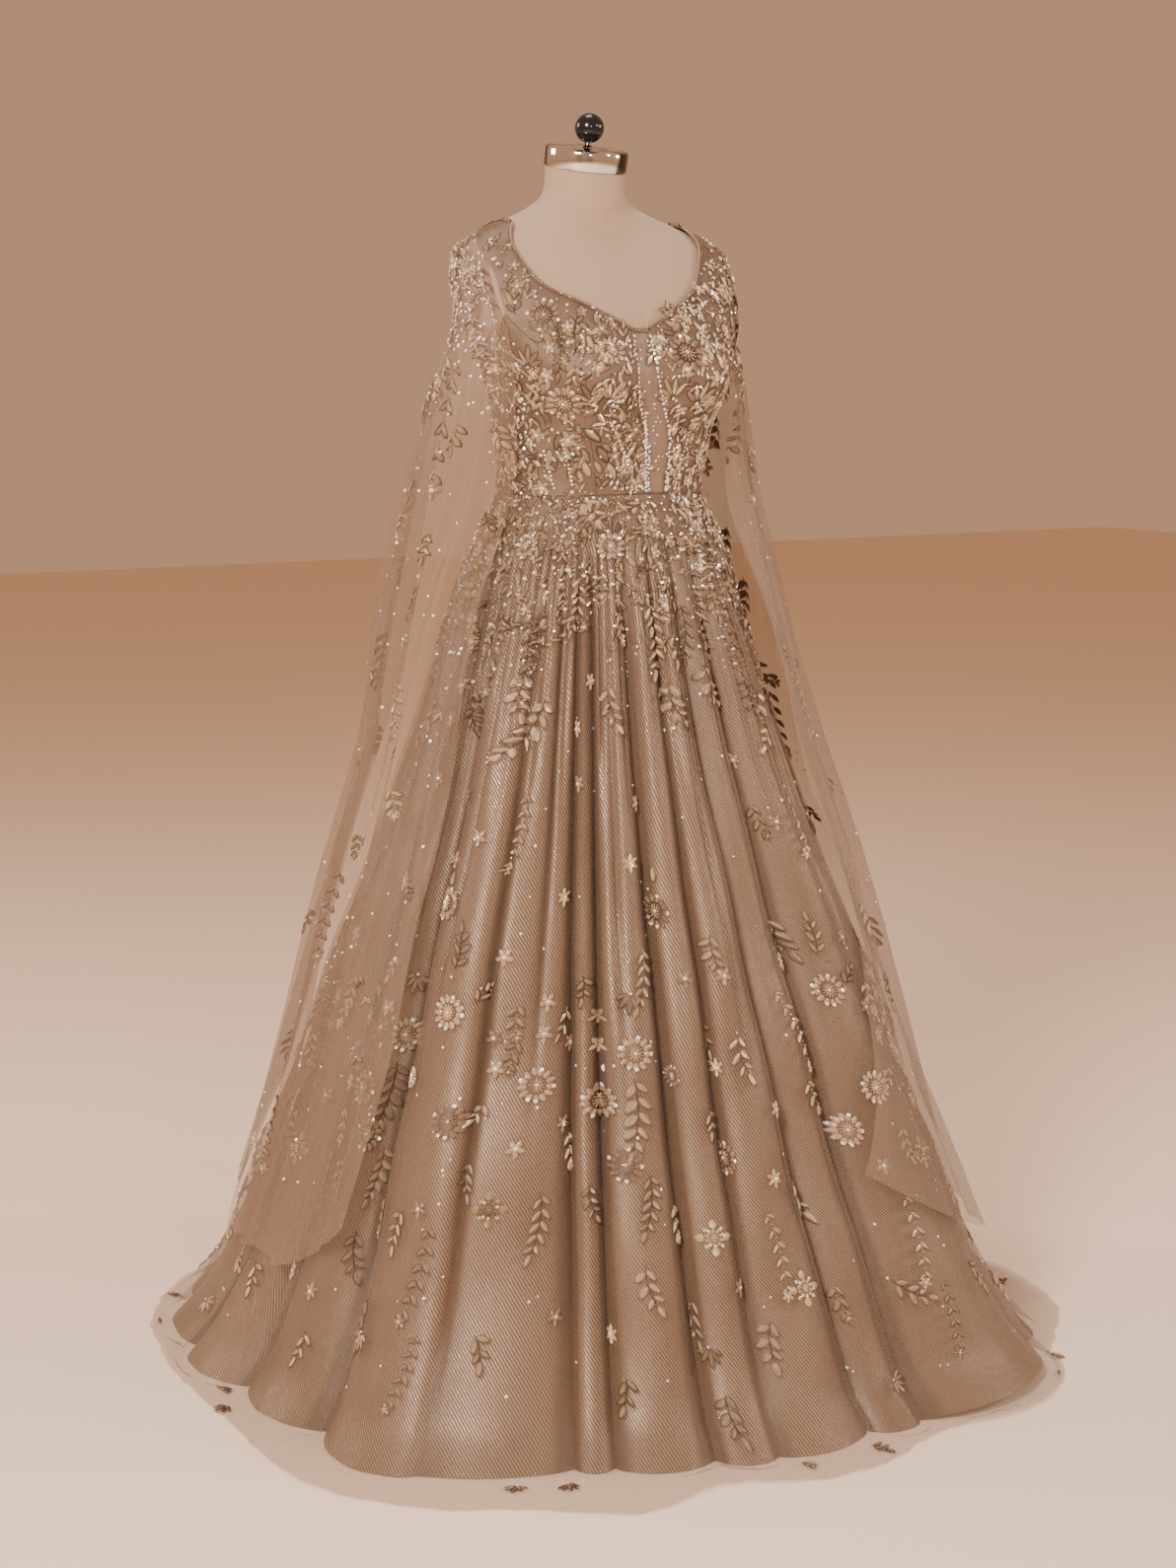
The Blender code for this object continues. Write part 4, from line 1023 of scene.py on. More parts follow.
def grid_shell(name: str, inner: Grid, outer: Grid, material: bpy.types.Material,
               closed: bool = False) -> bpy.types.Object:
    """A thin cloth shell between two grids of points, with its edges closed.

    Args:
        name: the piece's name.
        inner: its inside, rows by columns by three.
        outer: its outside.
        material: its finish.
        closed: whether its columns go all the way round.

    Returns:
        The object, with its weave lengths stored, and its hollows, the mask for the shade painted into fold
        valleys, as their third part.
    """
    rows, columns = inner.shape[:2]
    count = rows * columns
    index = np.arange(count).reshape(rows, columns)
    after = np.roll(index, -1, axis=1) if closed else index[:, 1:]
    before = index if closed else index[:, :-1]
    quads = np.stack([before[:-1], after[:-1], after[1:], before[1:]], -1).reshape(-1, 4)
    across, along = outer[:-1, 1:] - outer[:-1, :-1], outer[1:, :-1] - outer[:-1, :-1]
    out = np.cross(across, along)
    away = (outer[:-1, :-1] * np.array([1.0, 1.0, 0.0]))
    if np.sum(out * away) < 0:
        quads = quads[:, ::-1]
        flip = True
    else:
        flip = False
    faces = [*(quads + count), *quads[:, ::-1]]
    rims = [index[0], index[-1][::-1]]
    if not closed:
        rims += [index[:, -1], index[:, 0][::-1]]
    for rim in rims:
        line = np.append(rim, rim[0]) if closed else rim
        for a, b in zip(line[:-1], line[1:]):
            side = (a, b, b + count, a + count)
            faces.append(side[::-1] if flip else side)
    vertices = np.concatenate([inner.reshape(-1, 3), outer.reshape(-1, 3)])
    made = make_object(name, vertices, faces, [material])
    lengths = weave_lengths(outer)
    # The third part carries the mask for the shade painted into the fold valleys.
    lengths[..., 2] = hollows(outer)
    lengths = lengths.reshape(-1, 3)
    store(made, "weave", np.concatenate([lengths, lengths]))
    return made


def tube(name: str, path: Array, radius: float, material: bpy.types.Material,
         closed: bool = False, sides: int = 8, twist: float = 0.0) -> bpy.types.Object:
    """A cord along a path, lightly ribbed when it has a twist.

    Args:
        name: the piece's name.
        path: points along its middle.
        radius: its radius.
        material: its finish.
        closed: whether it joins up.
        sides: corners of its section.
        twist: turns of its section for each metre.

    Returns:
        The object.
    """
    after = np.roll(path, -1, axis=0) if closed else np.concatenate([path[1:], path[-1:]])
    before = np.roll(path, 1, axis=0) if closed else np.concatenate([path[:1], path[:-1]])
    tangent = unit(after - before)
    side = unit(np.cross(tangent, np.array([0.13, 0.21, 0.97])))
    up = np.cross(side, tangent)
    length = np.concatenate([[0], np.cumsum(np.linalg.norm(np.diff(path, axis=0), axis=1))])
    turns = math.tau * (np.arange(sides)[None, :] / sides + twist * length[:, None])
    ribs = 0.16 * np.cos(2 * turns - 4 * math.tau * twist * length[:, None]) if twist else 0.0
    width = radius * (1 + ribs)
    width = np.broadcast_to(width, turns.shape)
    rings = path[:, None] + width[..., None] * (
        np.cos(turns)[..., None] * side[:, None] + np.sin(turns)[..., None] * up[:, None]
    )
    count = len(path)
    index = np.arange(count * sides).reshape(count, sides)
    steps = range(count if closed else count - 1)
    faces = []
    for k in steps:
        low, high = index[k], index[(k + 1) % count]
        faces += [(low[j - 1], low[j], high[j], high[j - 1]) for j in range(sides)]
    if not closed:
        faces += [tuple(index[0][::-1]), tuple(index[-1])]
    made = make_object(name, rings.reshape(-1, 3), faces, [material])
    fix_normals(made)
    return made


def fix_normals(piece: bpy.types.Object) -> None:
    """Turns every face of a closed piece outward."""
    mesh = bmesh.new()
    mesh.from_mesh(piece.data)
    bmesh.ops.recalc_face_normals(mesh, faces=mesh.faces)
    mesh.to_mesh(piece.data)
    mesh.free()


def turned(name: str, outline: Sequence[tuple[float, float]], place: Matrix,
           material: bpy.types.Material, sides: int = 72) -> bpy.types.Object:
    """A solid turned round its own axis from half an outline that starts and ends on it.

    Args:
        name: the piece's name.
        outline: distances from the axis, and heights.
        place: where it stands.
        material: its finish.
        sides: how many sides it has.

    Returns:
        The object.
    """
    rings = outline[1:-1]
    angles = math.tau * np.arange(sides) / sides
    points = [[(r * math.cos(a), r * math.sin(a), z) for a in angles] for r, z in rings]
    vertices = np.array([(0, 0, outline[0][1]), (0, 0, outline[-1][1]), *sum(points, [])])
    faces: list[tuple[int, ...]] = []
    for k in range(len(rings)):
        ring = 2 + k * sides
        for j in range(sides):
            a, b = ring + j, ring + (j + 1) % sides
            if k == 0:
                faces.append((0, a, b))
            if k == len(rings) - 1:
                faces.append((1, b, a))
            else:
                faces.append((a, a + sides, b + sides, b))
    turned_points = np.array([place @ Vector(vertex) for vertex in vertices])
    made = make_object(name, turned_points, faces, [material], sharp=40)
    fix_normals(made)
    return made


# Beadwork motifs


@dataclass
class Motif:
    """A small raised shape, flat on the cloth: x across, y along, z out of it, in metres."""

    points: Array
    faces: list[tuple[int, ...]]
    tones: list[int]

    def moved(self, x: float = 0.0, y: float = 0.0, turn: float = 0.0, size: float = 1.0,
              lift: float = 0.0, tone: Tone | None = None) -> Motif:
        """The motif turned by degrees, scaled, moved and perhaps in another tone."""
        a = math.radians(turn)
        spin = np.array([[math.cos(a), math.sin(a), 0], [-math.sin(a), math.cos(a), 0], [0, 0, 1]])
        points = (self.points * size) @ spin + np.array([x, y, lift])
        tones = self.tones if tone is None else [tone.value] * len(self.tones)
        return Motif(points, self.faces, tones)


def joined(parts: Sequence[Motif]) -> Motif:
    """Several motifs as one."""
    points, faces, tones, start = [], [], [], 0
    for part in parts:
        points.append(part.points)
        faces += [tuple(i + start for i in face) for face in part.faces]
        tones += part.tones
        start += len(part.points)
    return Motif(np.concatenate(points), faces, tones)


def gem(width: float, height: float, tone: Tone, sides: int = 6) -> Motif:
    """A faceted bead."""
    angles = math.tau * np.arange(sides) / sides
    ring = [(width / 2 * math.cos(a), width / 2 * math.sin(a), height * 0.45) for a in angles]
    points = np.array([(0, 0, height), (0, 0, 0), *ring])
    faces = []
    for k in range(sides):
        a, b = 2 + k, 2 + (k + 1) % sides
        faces += [(0, a, b), (1, b, a)]
    return Motif(points, faces, [tone.value] * len(faces))


def navette(length: float, width: float, height: float, tone: Tone) -> Motif:
    """A pointed oval stone or petal, its root at the origin and its tip along +y.

    Args:
        length: its length.
        width: its width.
        height: height over the floor.
        tone: its finish.

    Returns:
        The motif.
    """
    shares = (0.16, 0.48, 0.82)
    spread = (0.72, 1.0, 0.60)
    crown = (0.75, 1.0, 0.7)
    points = [(0.0, 0.0, 0.0), (0.0, length, 0.0)]
    for share, out, top in zip(shares, spread, crown):
        y = length * share
        points += [(-width / 2 * out, y, 0.0), (0.0, y, height * top), (width / 2 * out, y, 0.0)]
    faces = [(0, 3, 2), (0, 4, 3), (0, 2, 4), (1, 8, 9), (1, 9, 10), (1, 10, 8)]
    for k in (2, 5):
        faces += [(k, k + 1, k + 4, k + 3), (k + 1, k + 2, k + 5, k + 4), (k, k + 3, k + 5, k + 2)]
    return Motif(np.array(points), faces, [tone.value] * len(faces))


def edged_leaf(length: float, width: float, tone: Tone) -> Motif:
    """A raised leaf inside a darker corded outline."""
    rim = navette(length * 1.14, width * 1.30, 0.0012, Tone.CORD)
    leaf = navette(length * 0.94, width * 0.84, 0.0028, tone)
    return joined([rim, leaf.moved(0, length * 0.08, lift=0.0003)])


def fan(length: float, count: int, spread: float, tone: Tone) -> Motif:
    """Long leaves that spread from one root, the middle one longest."""
    parts = [gem(length * 0.16, 0.0034, Tone.CRYSTAL, 6)]
    for k in range(count):
        share = 2 * k / (count - 1) - 1
        leaf = edged_leaf(length * (1 - 0.25 * abs(share)), length * 0.27, tone)
        parts.append(leaf.moved(0, length * 0.10).moved(turn=share * spread))
    return joined(parts)


def bar(length: float, width: float, tone: Tone) -> Motif:
    """A short bugle bead along +y."""
    x, z = width / 2, width
    section = ((-x, 0.1 * z), (x, 0.1 * z), (0, z))
    points = [(side, y, height) for y in (0, length) for side, height in section]
    faces = [(0, 2, 1), (3, 4, 5), (0, 1, 4, 3), (1, 2, 5, 4), (2, 0, 3, 5)]
    return Motif(np.array(points), faces, [tone.value] * len(faces))


def rosette(width: float, petals: int = 13) -> Motif:
    """A round flower: scalloped rim, ring of bugle beads, and a domed bead centre."""
    radius = width / 2
    parts = []
    scallop = math.tau * radius / petals
    for k in range(petals):
        turn = 360 * k / petals
        leaf = navette(radius * 0.50, scallop * 0.94, 0.0032, Tone.ROSE)
        parts.append(leaf.moved(0, radius * 0.54, 0).moved(turn=turn))
        rim = gem(scallop * 0.60, 0.0032, Tone.ROSE if k % 3 else Tone.CRYSTAL, 5)
        parts.append(rim.moved(0, radius * 0.98).moved(turn=turn))
        spoke = bar(radius * 0.24, 0.0013, Tone.GOLD)
        parts.append(spoke.moved(0, radius * 0.26, lift=0.0014).moved(turn=turn + 180 / petals))
    for ring, count in ((0.24, 8), (0.11, 5)):
        for k in range(count):
            bead = gem(radius * 0.15, 0.0042, Tone.GOLD, 5)
            parts.append(bead.moved(0, radius * ring).moved(turn=360 * k / count))
    base = gem(radius * 1.72, 0.0018, Tone.CORD, 13)
    parts += [base, gem(radius * 0.2, 0.0056, Tone.CRYSTAL, 6)]
    return joined(parts)


def blossom(width: float, petals: int, tone: Tone) -> Motif:
    """A small flower with pointed petals and a beaded centre."""
    radius = width / 2
    parts = [gem(radius * 0.42, 0.0036, Tone.CRYSTAL, 6)]
    for k in range(petals):
        turn = 360 * k / petals
        petal = navette(radius * 0.86, radius * 2.2 / petals + 0.0012, 0.0026, tone)
        parts.append(petal.moved(0, radius * 0.14, 0, lift=0.0002).moved(turn=turn))
        bead = gem(radius * 0.2, 0.003, Tone.GOLD, 5)
        parts.append(bead.moved(0, radius * 0.3).moved(turn=turn + 180 / petals))
    return joined(parts)


def cross_rose(width: float) -> Motif:
    """Four long and four short petals round a small rosette."""
    parts = [rosette(width * 0.46, 10)]
    for k in range(4):
        arm = navette(width * 0.26, width * 0.22, 0.003, Tone.OLIVE)
        tip = navette(width * 0.14, width * 0.12, 0.0025, Tone.GOLD)
        parts.append(arm.moved(0, width * 0.24).moved(turn=90 * k))
        parts.append(tip.moved(0, width * 0.24).moved(turn=90 * k + 45))
    return joined(parts)


def bead_line(points: Sequence[tuple[float, float]], width: float, tone: Tone) -> Motif:
    """Beads along a line of points."""
    return joined([gem(width, width * 0.9, tone, 5).moved(x, y) for x, y in points])


def spray(length: float, pairs: int, bend: float, leaf: float, tone: Tone, tip: Motif | None,
          beaded: bool = False) -> Motif:
    """A curved stem with paired leaves.

    Args:
        length: length of the stem.
        pairs: number of leaf pairs.
        bend: degrees that the stem turns over its length.
        leaf: length of the largest leaf.
        tone: the leaves' finish.
        tip: what stands at the stem's end.
        beaded: whether beads follow the stem in place of cord.

    Returns:
        The motif, rooted at the origin and growing along +y.
    """
    steps = pairs * 3
    x = y = 0.0
    heading = -bend * 0.3
    line = [(0.0, 0.0)]
    turns = [heading]
    for _ in range(steps):
        heading += bend / steps
        x += length / steps * math.sin(math.radians(heading))
        y += length / steps * math.cos(math.radians(heading))
        line.append((x, y))
        turns.append(heading)
    parts = []
    if beaded:
        parts.append(bead_line(line[1:], 0.0020, Tone.GOLD))
    else:
        for (x0, y0), (x1, y1), turn in zip(line, line[1:], turns[1:]):
            stem = bar(math.hypot(x1 - x0, y1 - y0) * 1.1, 0.0011, Tone.CORD)
            parts.append(stem.moved(turn=-turn).moved(x0, y0))
    for k in range(pairs):
        at_x, at_y = line[3 * k + 1]
        size = leaf * (0.72 + 0.28 * math.sin(math.pi * (k + 0.8) / pairs))
        for side in (-1, 1):
            blade = edged_leaf(size, size * 0.44, tone)
            lean = turns[3 * k + 1] + side * 42
            parts.append(blade.moved(turn=-lean).moved(at_x, at_y + side * 0.0014))
    end = edged_leaf(leaf * 0.95, leaf * 0.42, tone) if tip is None else tip
    parts.append(end.moved(turn=-heading).moved(*line[-1]))
    return joined(parts)


def scroll(length: float, bend: float, width: float, tone: Tone) -> Motif:
    """A curl of beads.

    Args:
        length: its length.
        bend: how far it turns, in degrees.
        width: its width.
        tone: its finish.

    Returns:
        The motif.
    """
    steps = max(4, int(length / (width * 1.35)))
    heading, x, y = 0.0, 0.0, 0.0
    line = []
    for k in range(steps):
        line.append((x, y))
        heading += bend / steps * (0.4 + 1.2 * k / steps)
        x += length / steps * math.sin(math.radians(heading))
        y += length / steps * math.cos(math.radians(heading))
    return bead_line(line, width, tone)


class Kind(Enum):
    """The motifs that the gown is embroidered with."""

    ROSETTE = "rosette"
    FLOWER = "flower"
    STAR = "star"
    CROSS_ROSE = "cross_rose"
    FAN = "fan"
    SPRAY_LONG = "spray_long"
    SPRAY = "spray"
    SPRIG = "sprig"
    SPRIG_GOLD = "sprig_gold"
    BUD = "bud"
    TRAIL = "trail"
    LEAF_PAIR = "leaf_pair"
    LEAF = "leaf"
    LEAF_GOLD = "leaf_gold"
    STONE = "stone"
    BEAD = "bead"
    CRYSTAL = "crystal"
    CURL_RIGHT = "curl_right"
    CURL_LEFT = "curl_left"
    SEQUIN = "sequin"


def motif_book() -> dict[Kind, Motif]:
    """Every motif at its usual size, in metres."""
    bud = blossom(0.017, 5, Tone.ROSE)
    sides = ((Tone.LEAF, 34), (Tone.ROSE, -34))
    pair = [edged_leaf(0.016, 0.0070, tone).moved(turn=turn) for tone, turn in sides]
    return {
        Kind.ROSETTE: rosette(0.040),
        Kind.FLOWER: blossom(0.024, 5, Tone.ROSE),
        Kind.STAR: blossom(0.025, 6, Tone.OLIVE),
        Kind.CROSS_ROSE: cross_rose(0.046),
        Kind.FAN: fan(0.026, 5, 62, Tone.LEAF),
        Kind.SPRAY_LONG: spray(0.080, 5, 30, 0.020, Tone.LEAF, None),
        Kind.SPRAY: spray(0.050, 3, -34, 0.019, Tone.ROSE, None),
        Kind.SPRIG: spray(0.026, 2, 26, 0.015, Tone.LEAF, None),
        Kind.SPRIG_GOLD: spray(0.034, 2, 38, 0.018, Tone.OLIVE, None),
        Kind.BUD: spray(0.046, 3, -24, 0.017, Tone.OLIVE, bud, beaded=True),
        Kind.TRAIL: spray(0.120, 6, 22, 0.015, Tone.ROSE, bud, beaded=True),
        Kind.LEAF_PAIR: joined([*pair, gem(0.0034, 0.0030, Tone.CRYSTAL, 5)]),
        Kind.LEAF: edged_leaf(0.018, 0.0078, Tone.LEAF),
        Kind.LEAF_GOLD: edged_leaf(0.020, 0.0080, Tone.OLIVE),
        Kind.STONE: navette(0.0095, 0.0046, 0.0034, Tone.CRYSTAL),
        Kind.BEAD: gem(0.0034, 0.0026, Tone.GOLD, 5),
        Kind.CRYSTAL: gem(0.0054, 0.0030, Tone.CRYSTAL, 5),
        Kind.CURL_RIGHT: scroll(0.036, 220, 0.0022, Tone.GOLD),
        Kind.CURL_LEFT: scroll(0.036, -220, 0.0022, Tone.CORD),
        Kind.SEQUIN: gem(0.0048, 0.0012, Tone.CRYSTAL, 6),
    }


class Place(NamedTuple):
    """A motif's place on a cloth: the two surface coordinates, its turn in degrees and its size."""

    kind: Kind
    u: float
    v: float
    turn: float = 180.0
    size: float = 1.0


def placed(kind: Kind, *places: tuple[float, ...]) -> list[Place]:
    """One motif at several places."""
    return [Place(kind, *place) for place in places]


BODICE_WORK = (
    *placed(Kind.ROSETTE, (-60.3, 1.421, 0, 1.05), (-52.7, 1.3086, 40, 1.12), (-29.4, 1.3742, 20, 0.95),
            (21.1, 1.3716, 0, 1.22), (55.0, 1.4, 0, 1.05), (60.0, 1.305, 0, 1.05), (-24.0, 1.264, 0, 0.78),
            (36.0, 1.26, 0, 0.8)),
    *placed(Kind.FLOWER, (-50.4, 1.4049, 0, 0.85), (-41.5, 1.2983, 0, 0.8), (-69.5, 1.4575, 0, 0.9),
            (-71.4, 1.4848, 0, 0.8), (-75.1, 1.511, 0, 0.75), (-84.6, 1.382, 0, 0.9),
            (-84.6, 1.3522, 0, 0.9), (-91.0, 1.2535, 0, 1.0), (6.8, 1.392, 0, 0.85)),
    *placed(Kind.STAR, (68.0, 1.4885, 0, 0.75)),
    *placed(Kind.FLOWER, (66.0, 1.456, 0, 0.85), (-44.0, 1.425, 0, 0.75), (-27.0, 1.407, 0, 0.75)),
    *placed(Kind.STAR, (30.0, 1.414, 0, 0.75)),
    *placed(Kind.FAN, (-38.5, 1.308, -24, 1.15), (-31.0, 1.312, 34, 1.1), (13.5, 1.314, -30, 1.1),
            (28.0, 1.308, 12, 1.2), (45.0, 1.324, 40, 1.0), (-68.0, 1.356, 10, 1.0)),
    *placed(Kind.LEAF_GOLD, (-44.5, 1.276, 128, 1.5)),
    *placed(Kind.LEAF, (-37.0, 1.252, 142, 1.5)),
    *placed(Kind.LEAF_GOLD, (-30.0, 1.231, 150, 1.4)),
    *placed(Kind.LEAF, (-56.0, 1.27, 200, 1.4)),
    *placed(Kind.LEAF_GOLD, (-62.0, 1.25, 190, 1.4)),
    *placed(Kind.LEAF, (-47.0, 1.218, 20, 1.3)),
    *placed(Kind.LEAF_GOLD, (-40.0, 1.208, -25, 1.3), (-53.0, 1.208, 30, 1.3)),
)

SKIRT_WORK = (
    *placed(Kind.ROSETTE, (-60.0, 0.653), (-57.0, 0.783), (-42.5, 0.741), (-31.0, 0.765), (-24.0, 0.704),
            (-16.5, 0.535), (-27.0, 0.838), (-9.5, 0.844), (15.5, 0.831), (-16.8, 0.738, 0, 0.62)),
    *placed(Kind.CROSS_ROSE, (-49.0, 0.886), (-14.0, 0.931), (-0.5, 1.004)),
    *placed(Kind.STAR, (-38.0, 0.514)),
    *placed(Kind.FLOWER, (-60.5, 0.438), (-51.0, 0.584)),
    *placed(Kind.STAR, (-22.0, 0.472)),
    *placed(Kind.FLOWER, (-19.0, 0.399), (-32.0, 0.242), (-35.0, 0.302), (-34.5, 0.372), (14.0, 0.354),
            (-13.5, 0.617), (-5.5, 0.617)),
    *placed(Kind.STAR, (11.5, 0.614)),
    *placed(Kind.FLOWER, (-41.5, 0.68), (-41.0, 0.641), (-51.5, 0.683), (-50.5, 0.72), (-36.5, 0.695),
            (-31.0, 0.698), (-31.0, 0.662)),
    *placed(Kind.STAR, (-9.0, 0.732), (-30.5, 1.04)),
    *placed(Kind.FLOWER, (-38.5, 1.016), (-11.0, 0.995), (-59.5, 0.889), (-37.5, 0.79), (-45.5, 0.815)),
    *placed(Kind.STAR, (-2.0, 0.87)),
    *placed(Kind.FLOWER, (2.0, 0.79)),
    *placed(Kind.SPRAY_LONG, (-47.0, 0.262, 200, 1.0)),
    *placed(Kind.SPRAY, (-55.5, 0.23, 190), (-26.0, 0.245, 175), (-7.0, 0.245, 176), (8.5, 0.225, 172)),
    *placed(Kind.BUD, (-2.5, 0.18, 178)),
    *placed(Kind.SPRAY_LONG, (-20.5, 0.58, 186, 0.9)),
    *placed(Kind.FAN, (-24.0, 0.632, 190, 0.9)),
    *placed(Kind.LEAF, (-16.5, 0.5, 0, 1.1)),
    *placed(Kind.SPRAY, (-60.0, 0.6, 10, 0.9)),
    *placed(Kind.SPRIG, (-55.5, 0.64, 40, 1.0)),
    *placed(Kind.BUD, (-47.0, 0.64, 186, 0.95), (-46.5, 0.685, 200, 0.9)),
    *placed(Kind.SPRIG_GOLD, (-10.5, 0.68, 140)),
    *placed(Kind.SPRAY, (-7.0, 0.565, 184, 0.9), (13.0, 0.56, 178, 0.9)),
    *placed(Kind.SPRAY_LONG, (-24.5, 0.735, 178, 1.1), (-23.0, 0.85, 182, 0.85), (-41.0, 0.87, 182, 0.9)),
    *placed(Kind.SPRAY, (-62.5, 0.895, 200, 0.9)),
    *placed(Kind.SPRIG_GOLD, (-49.5, 1.03, 150)),
    *placed(Kind.SPRAY, (-25.0, 0.955, 176), (-7.0, 1.035, 196), (-17.5, 1.005, 188)),
    *placed(Kind.FAN, (-16.5, 1.06, 178, 0.85)),
    *placed(Kind.SPRAY, (15.0, 1.02, 130)),
    *placed(Kind.FAN, (10.0, 1.13, 120, 0.8)),
    *placed(Kind.SPRIG, (2.0, 1.19, 160), (-8.0, 1.185, 170)),
    *placed(Kind.SPRAY, (-15.5, 1.11, 180)),
    *placed(Kind.SPRIG_GOLD, (-29.0, 1.085, 175)),
    *placed(Kind.FAN, (-42.0, 1.205, 190, 0.7), (-36.5, 1.215, 165, 0.7)),
    *placed(Kind.TRAIL, (-50.5, 0.38, 184, 0.85)),
    *placed(Kind.BUD, (14.5, 0.41, 170)),
    *placed(Kind.TRAIL, (8.0, 0.645, 160, 0.95), (-57.5, 0.905, 184, 1.0), (-57.0, 1.03, 186, 0.8)),
    *placed(Kind.BUD, (-36.5, 0.8, 178), (6.0, 1.01, 174)),
    *placed(Kind.SPRAY, (-4.0, 0.69, 182), (-33.0, 0.86, 178, 0.8)),
    *placed(Kind.BUD, (-19.0, 0.89, 182)),
    *placed(Kind.TRAIL, (-5.0, 0.905, 170, 0.9)),
    *placed(Kind.SPRAY, (3.5, 0.88, 165)),
    *placed(Kind.BUD, (10.0, 0.76, 168)),
    *placed(Kind.SPRIG, (-52.0, 0.76, 200), (-33.5, 0.61, 175)),
    *placed(Kind.SPRIG_GOLD, (-37.0, 0.65, 195)),
    *placed(Kind.SPRAY, (-53.0, 0.83, 188, 0.8)),
    *placed(Kind.SPRIG, (-12.0, 0.78, 172)),
    *placed(Kind.STONE, (-30.0, 0.72)),
)


@dataclass
class Embroidery:
    """Beadwork sewn to one surface, gathered by motif and built as one piece."""

    name: str
    slot: str
    cloth: Cloth
    du: float
    dv: float
    up: float
    book: dict[Kind, Motif]
    seed: int = 1
    places: dict[Kind, list[Place]] = field(default_factory=dict)

    def sew(self, kind: Kind, u: float, v: float, turn: float = 0.0, size: float = 1.0) -> None:
        """Adds one motif. A turn of 0 points it up the gown, and 180 down."""
        self.places.setdefault(kind, []).append(Place(kind, u, v, turn, size))

    def build(self, materials: Sequence[bpy.types.Material], lift: float = 0.0004) -> bpy.types.Object:
        """Wraps every motif on the cloth and makes the piece."""
        rng = np.random.default_rng(self.seed)
        all_points, all_faces, all_tones, all_threads, start = [], [], [], [], 0
        for kind, places in self.places.items():
            motif = self.book[kind]
            points = self.wrap(motif, np.array([place[1:] for place in places], float), lift)
            count, each = points.shape[:2]
            tint = rng.uniform(0, 1, count)
            local = np.broadcast_to(motif.points, points.shape).copy()
            local[..., 2] = tint[:, None]
            all_points.append(points.reshape(-1, 3))
            all_threads.append(local.reshape(-1, 3))
            for k in range(count):
                offset = start + k * each
                all_faces += [tuple(i + offset for i in face) for face in motif.faces]
            all_tones += motif.tones * count
            start += count * each
        made = make_object(self.name, np.concatenate(all_points), all_faces, materials, 30)
        made.data.polygons.foreach_set("material_index", np.array(all_tones, np.int32))
        store(made, "thread", np.concatenate(all_threads))
        fix_normals(made)
        log.info("%s: %d motifs, %d triangles", self.name, sum(map(len, self.places.values())),
                 sum(len(face) - 2 for face in all_faces))
        return made

    def wrap(self, motif: Motif, places: Array, lift: float) -> Array:
        """The motif's points at every place, laid on the cloth.

        Args:
            motif: the motif.
            places: a row for each place.
            lift: height over the cloth.

        Returns:
            The points, place by place.
        """
        u0, v0, turn, size = (places[:, k][:, None] for k in range(4))
        across, along, _ = normals(self.cloth, u0[:, 0], v0[:, 0], self.du, self.dv)
        per_u = np.linalg.norm(across, axis=-1)[:, None]
        per_v = np.linalg.norm(along, axis=-1)[:, None]
        a = np.radians(turn)
        x, y, z = (motif.points[:, k][None, :] * size for k in range(3))
        right = x * np.cos(a) + y * np.sin(a)
        up = y * np.cos(a) - x * np.sin(a)
        u = u0 + right / per_u
        v = v0 + self.up * up / per_v
        _, _, out = normals(self.cloth, u, v, self.du, self.dv)
        points = self.cloth.at(u, v) + out * (z + lift)[..., None]
        points[..., 2] = np.maximum(points[..., 2], 0.0006 + z)
        return points


# Sub-assemblies


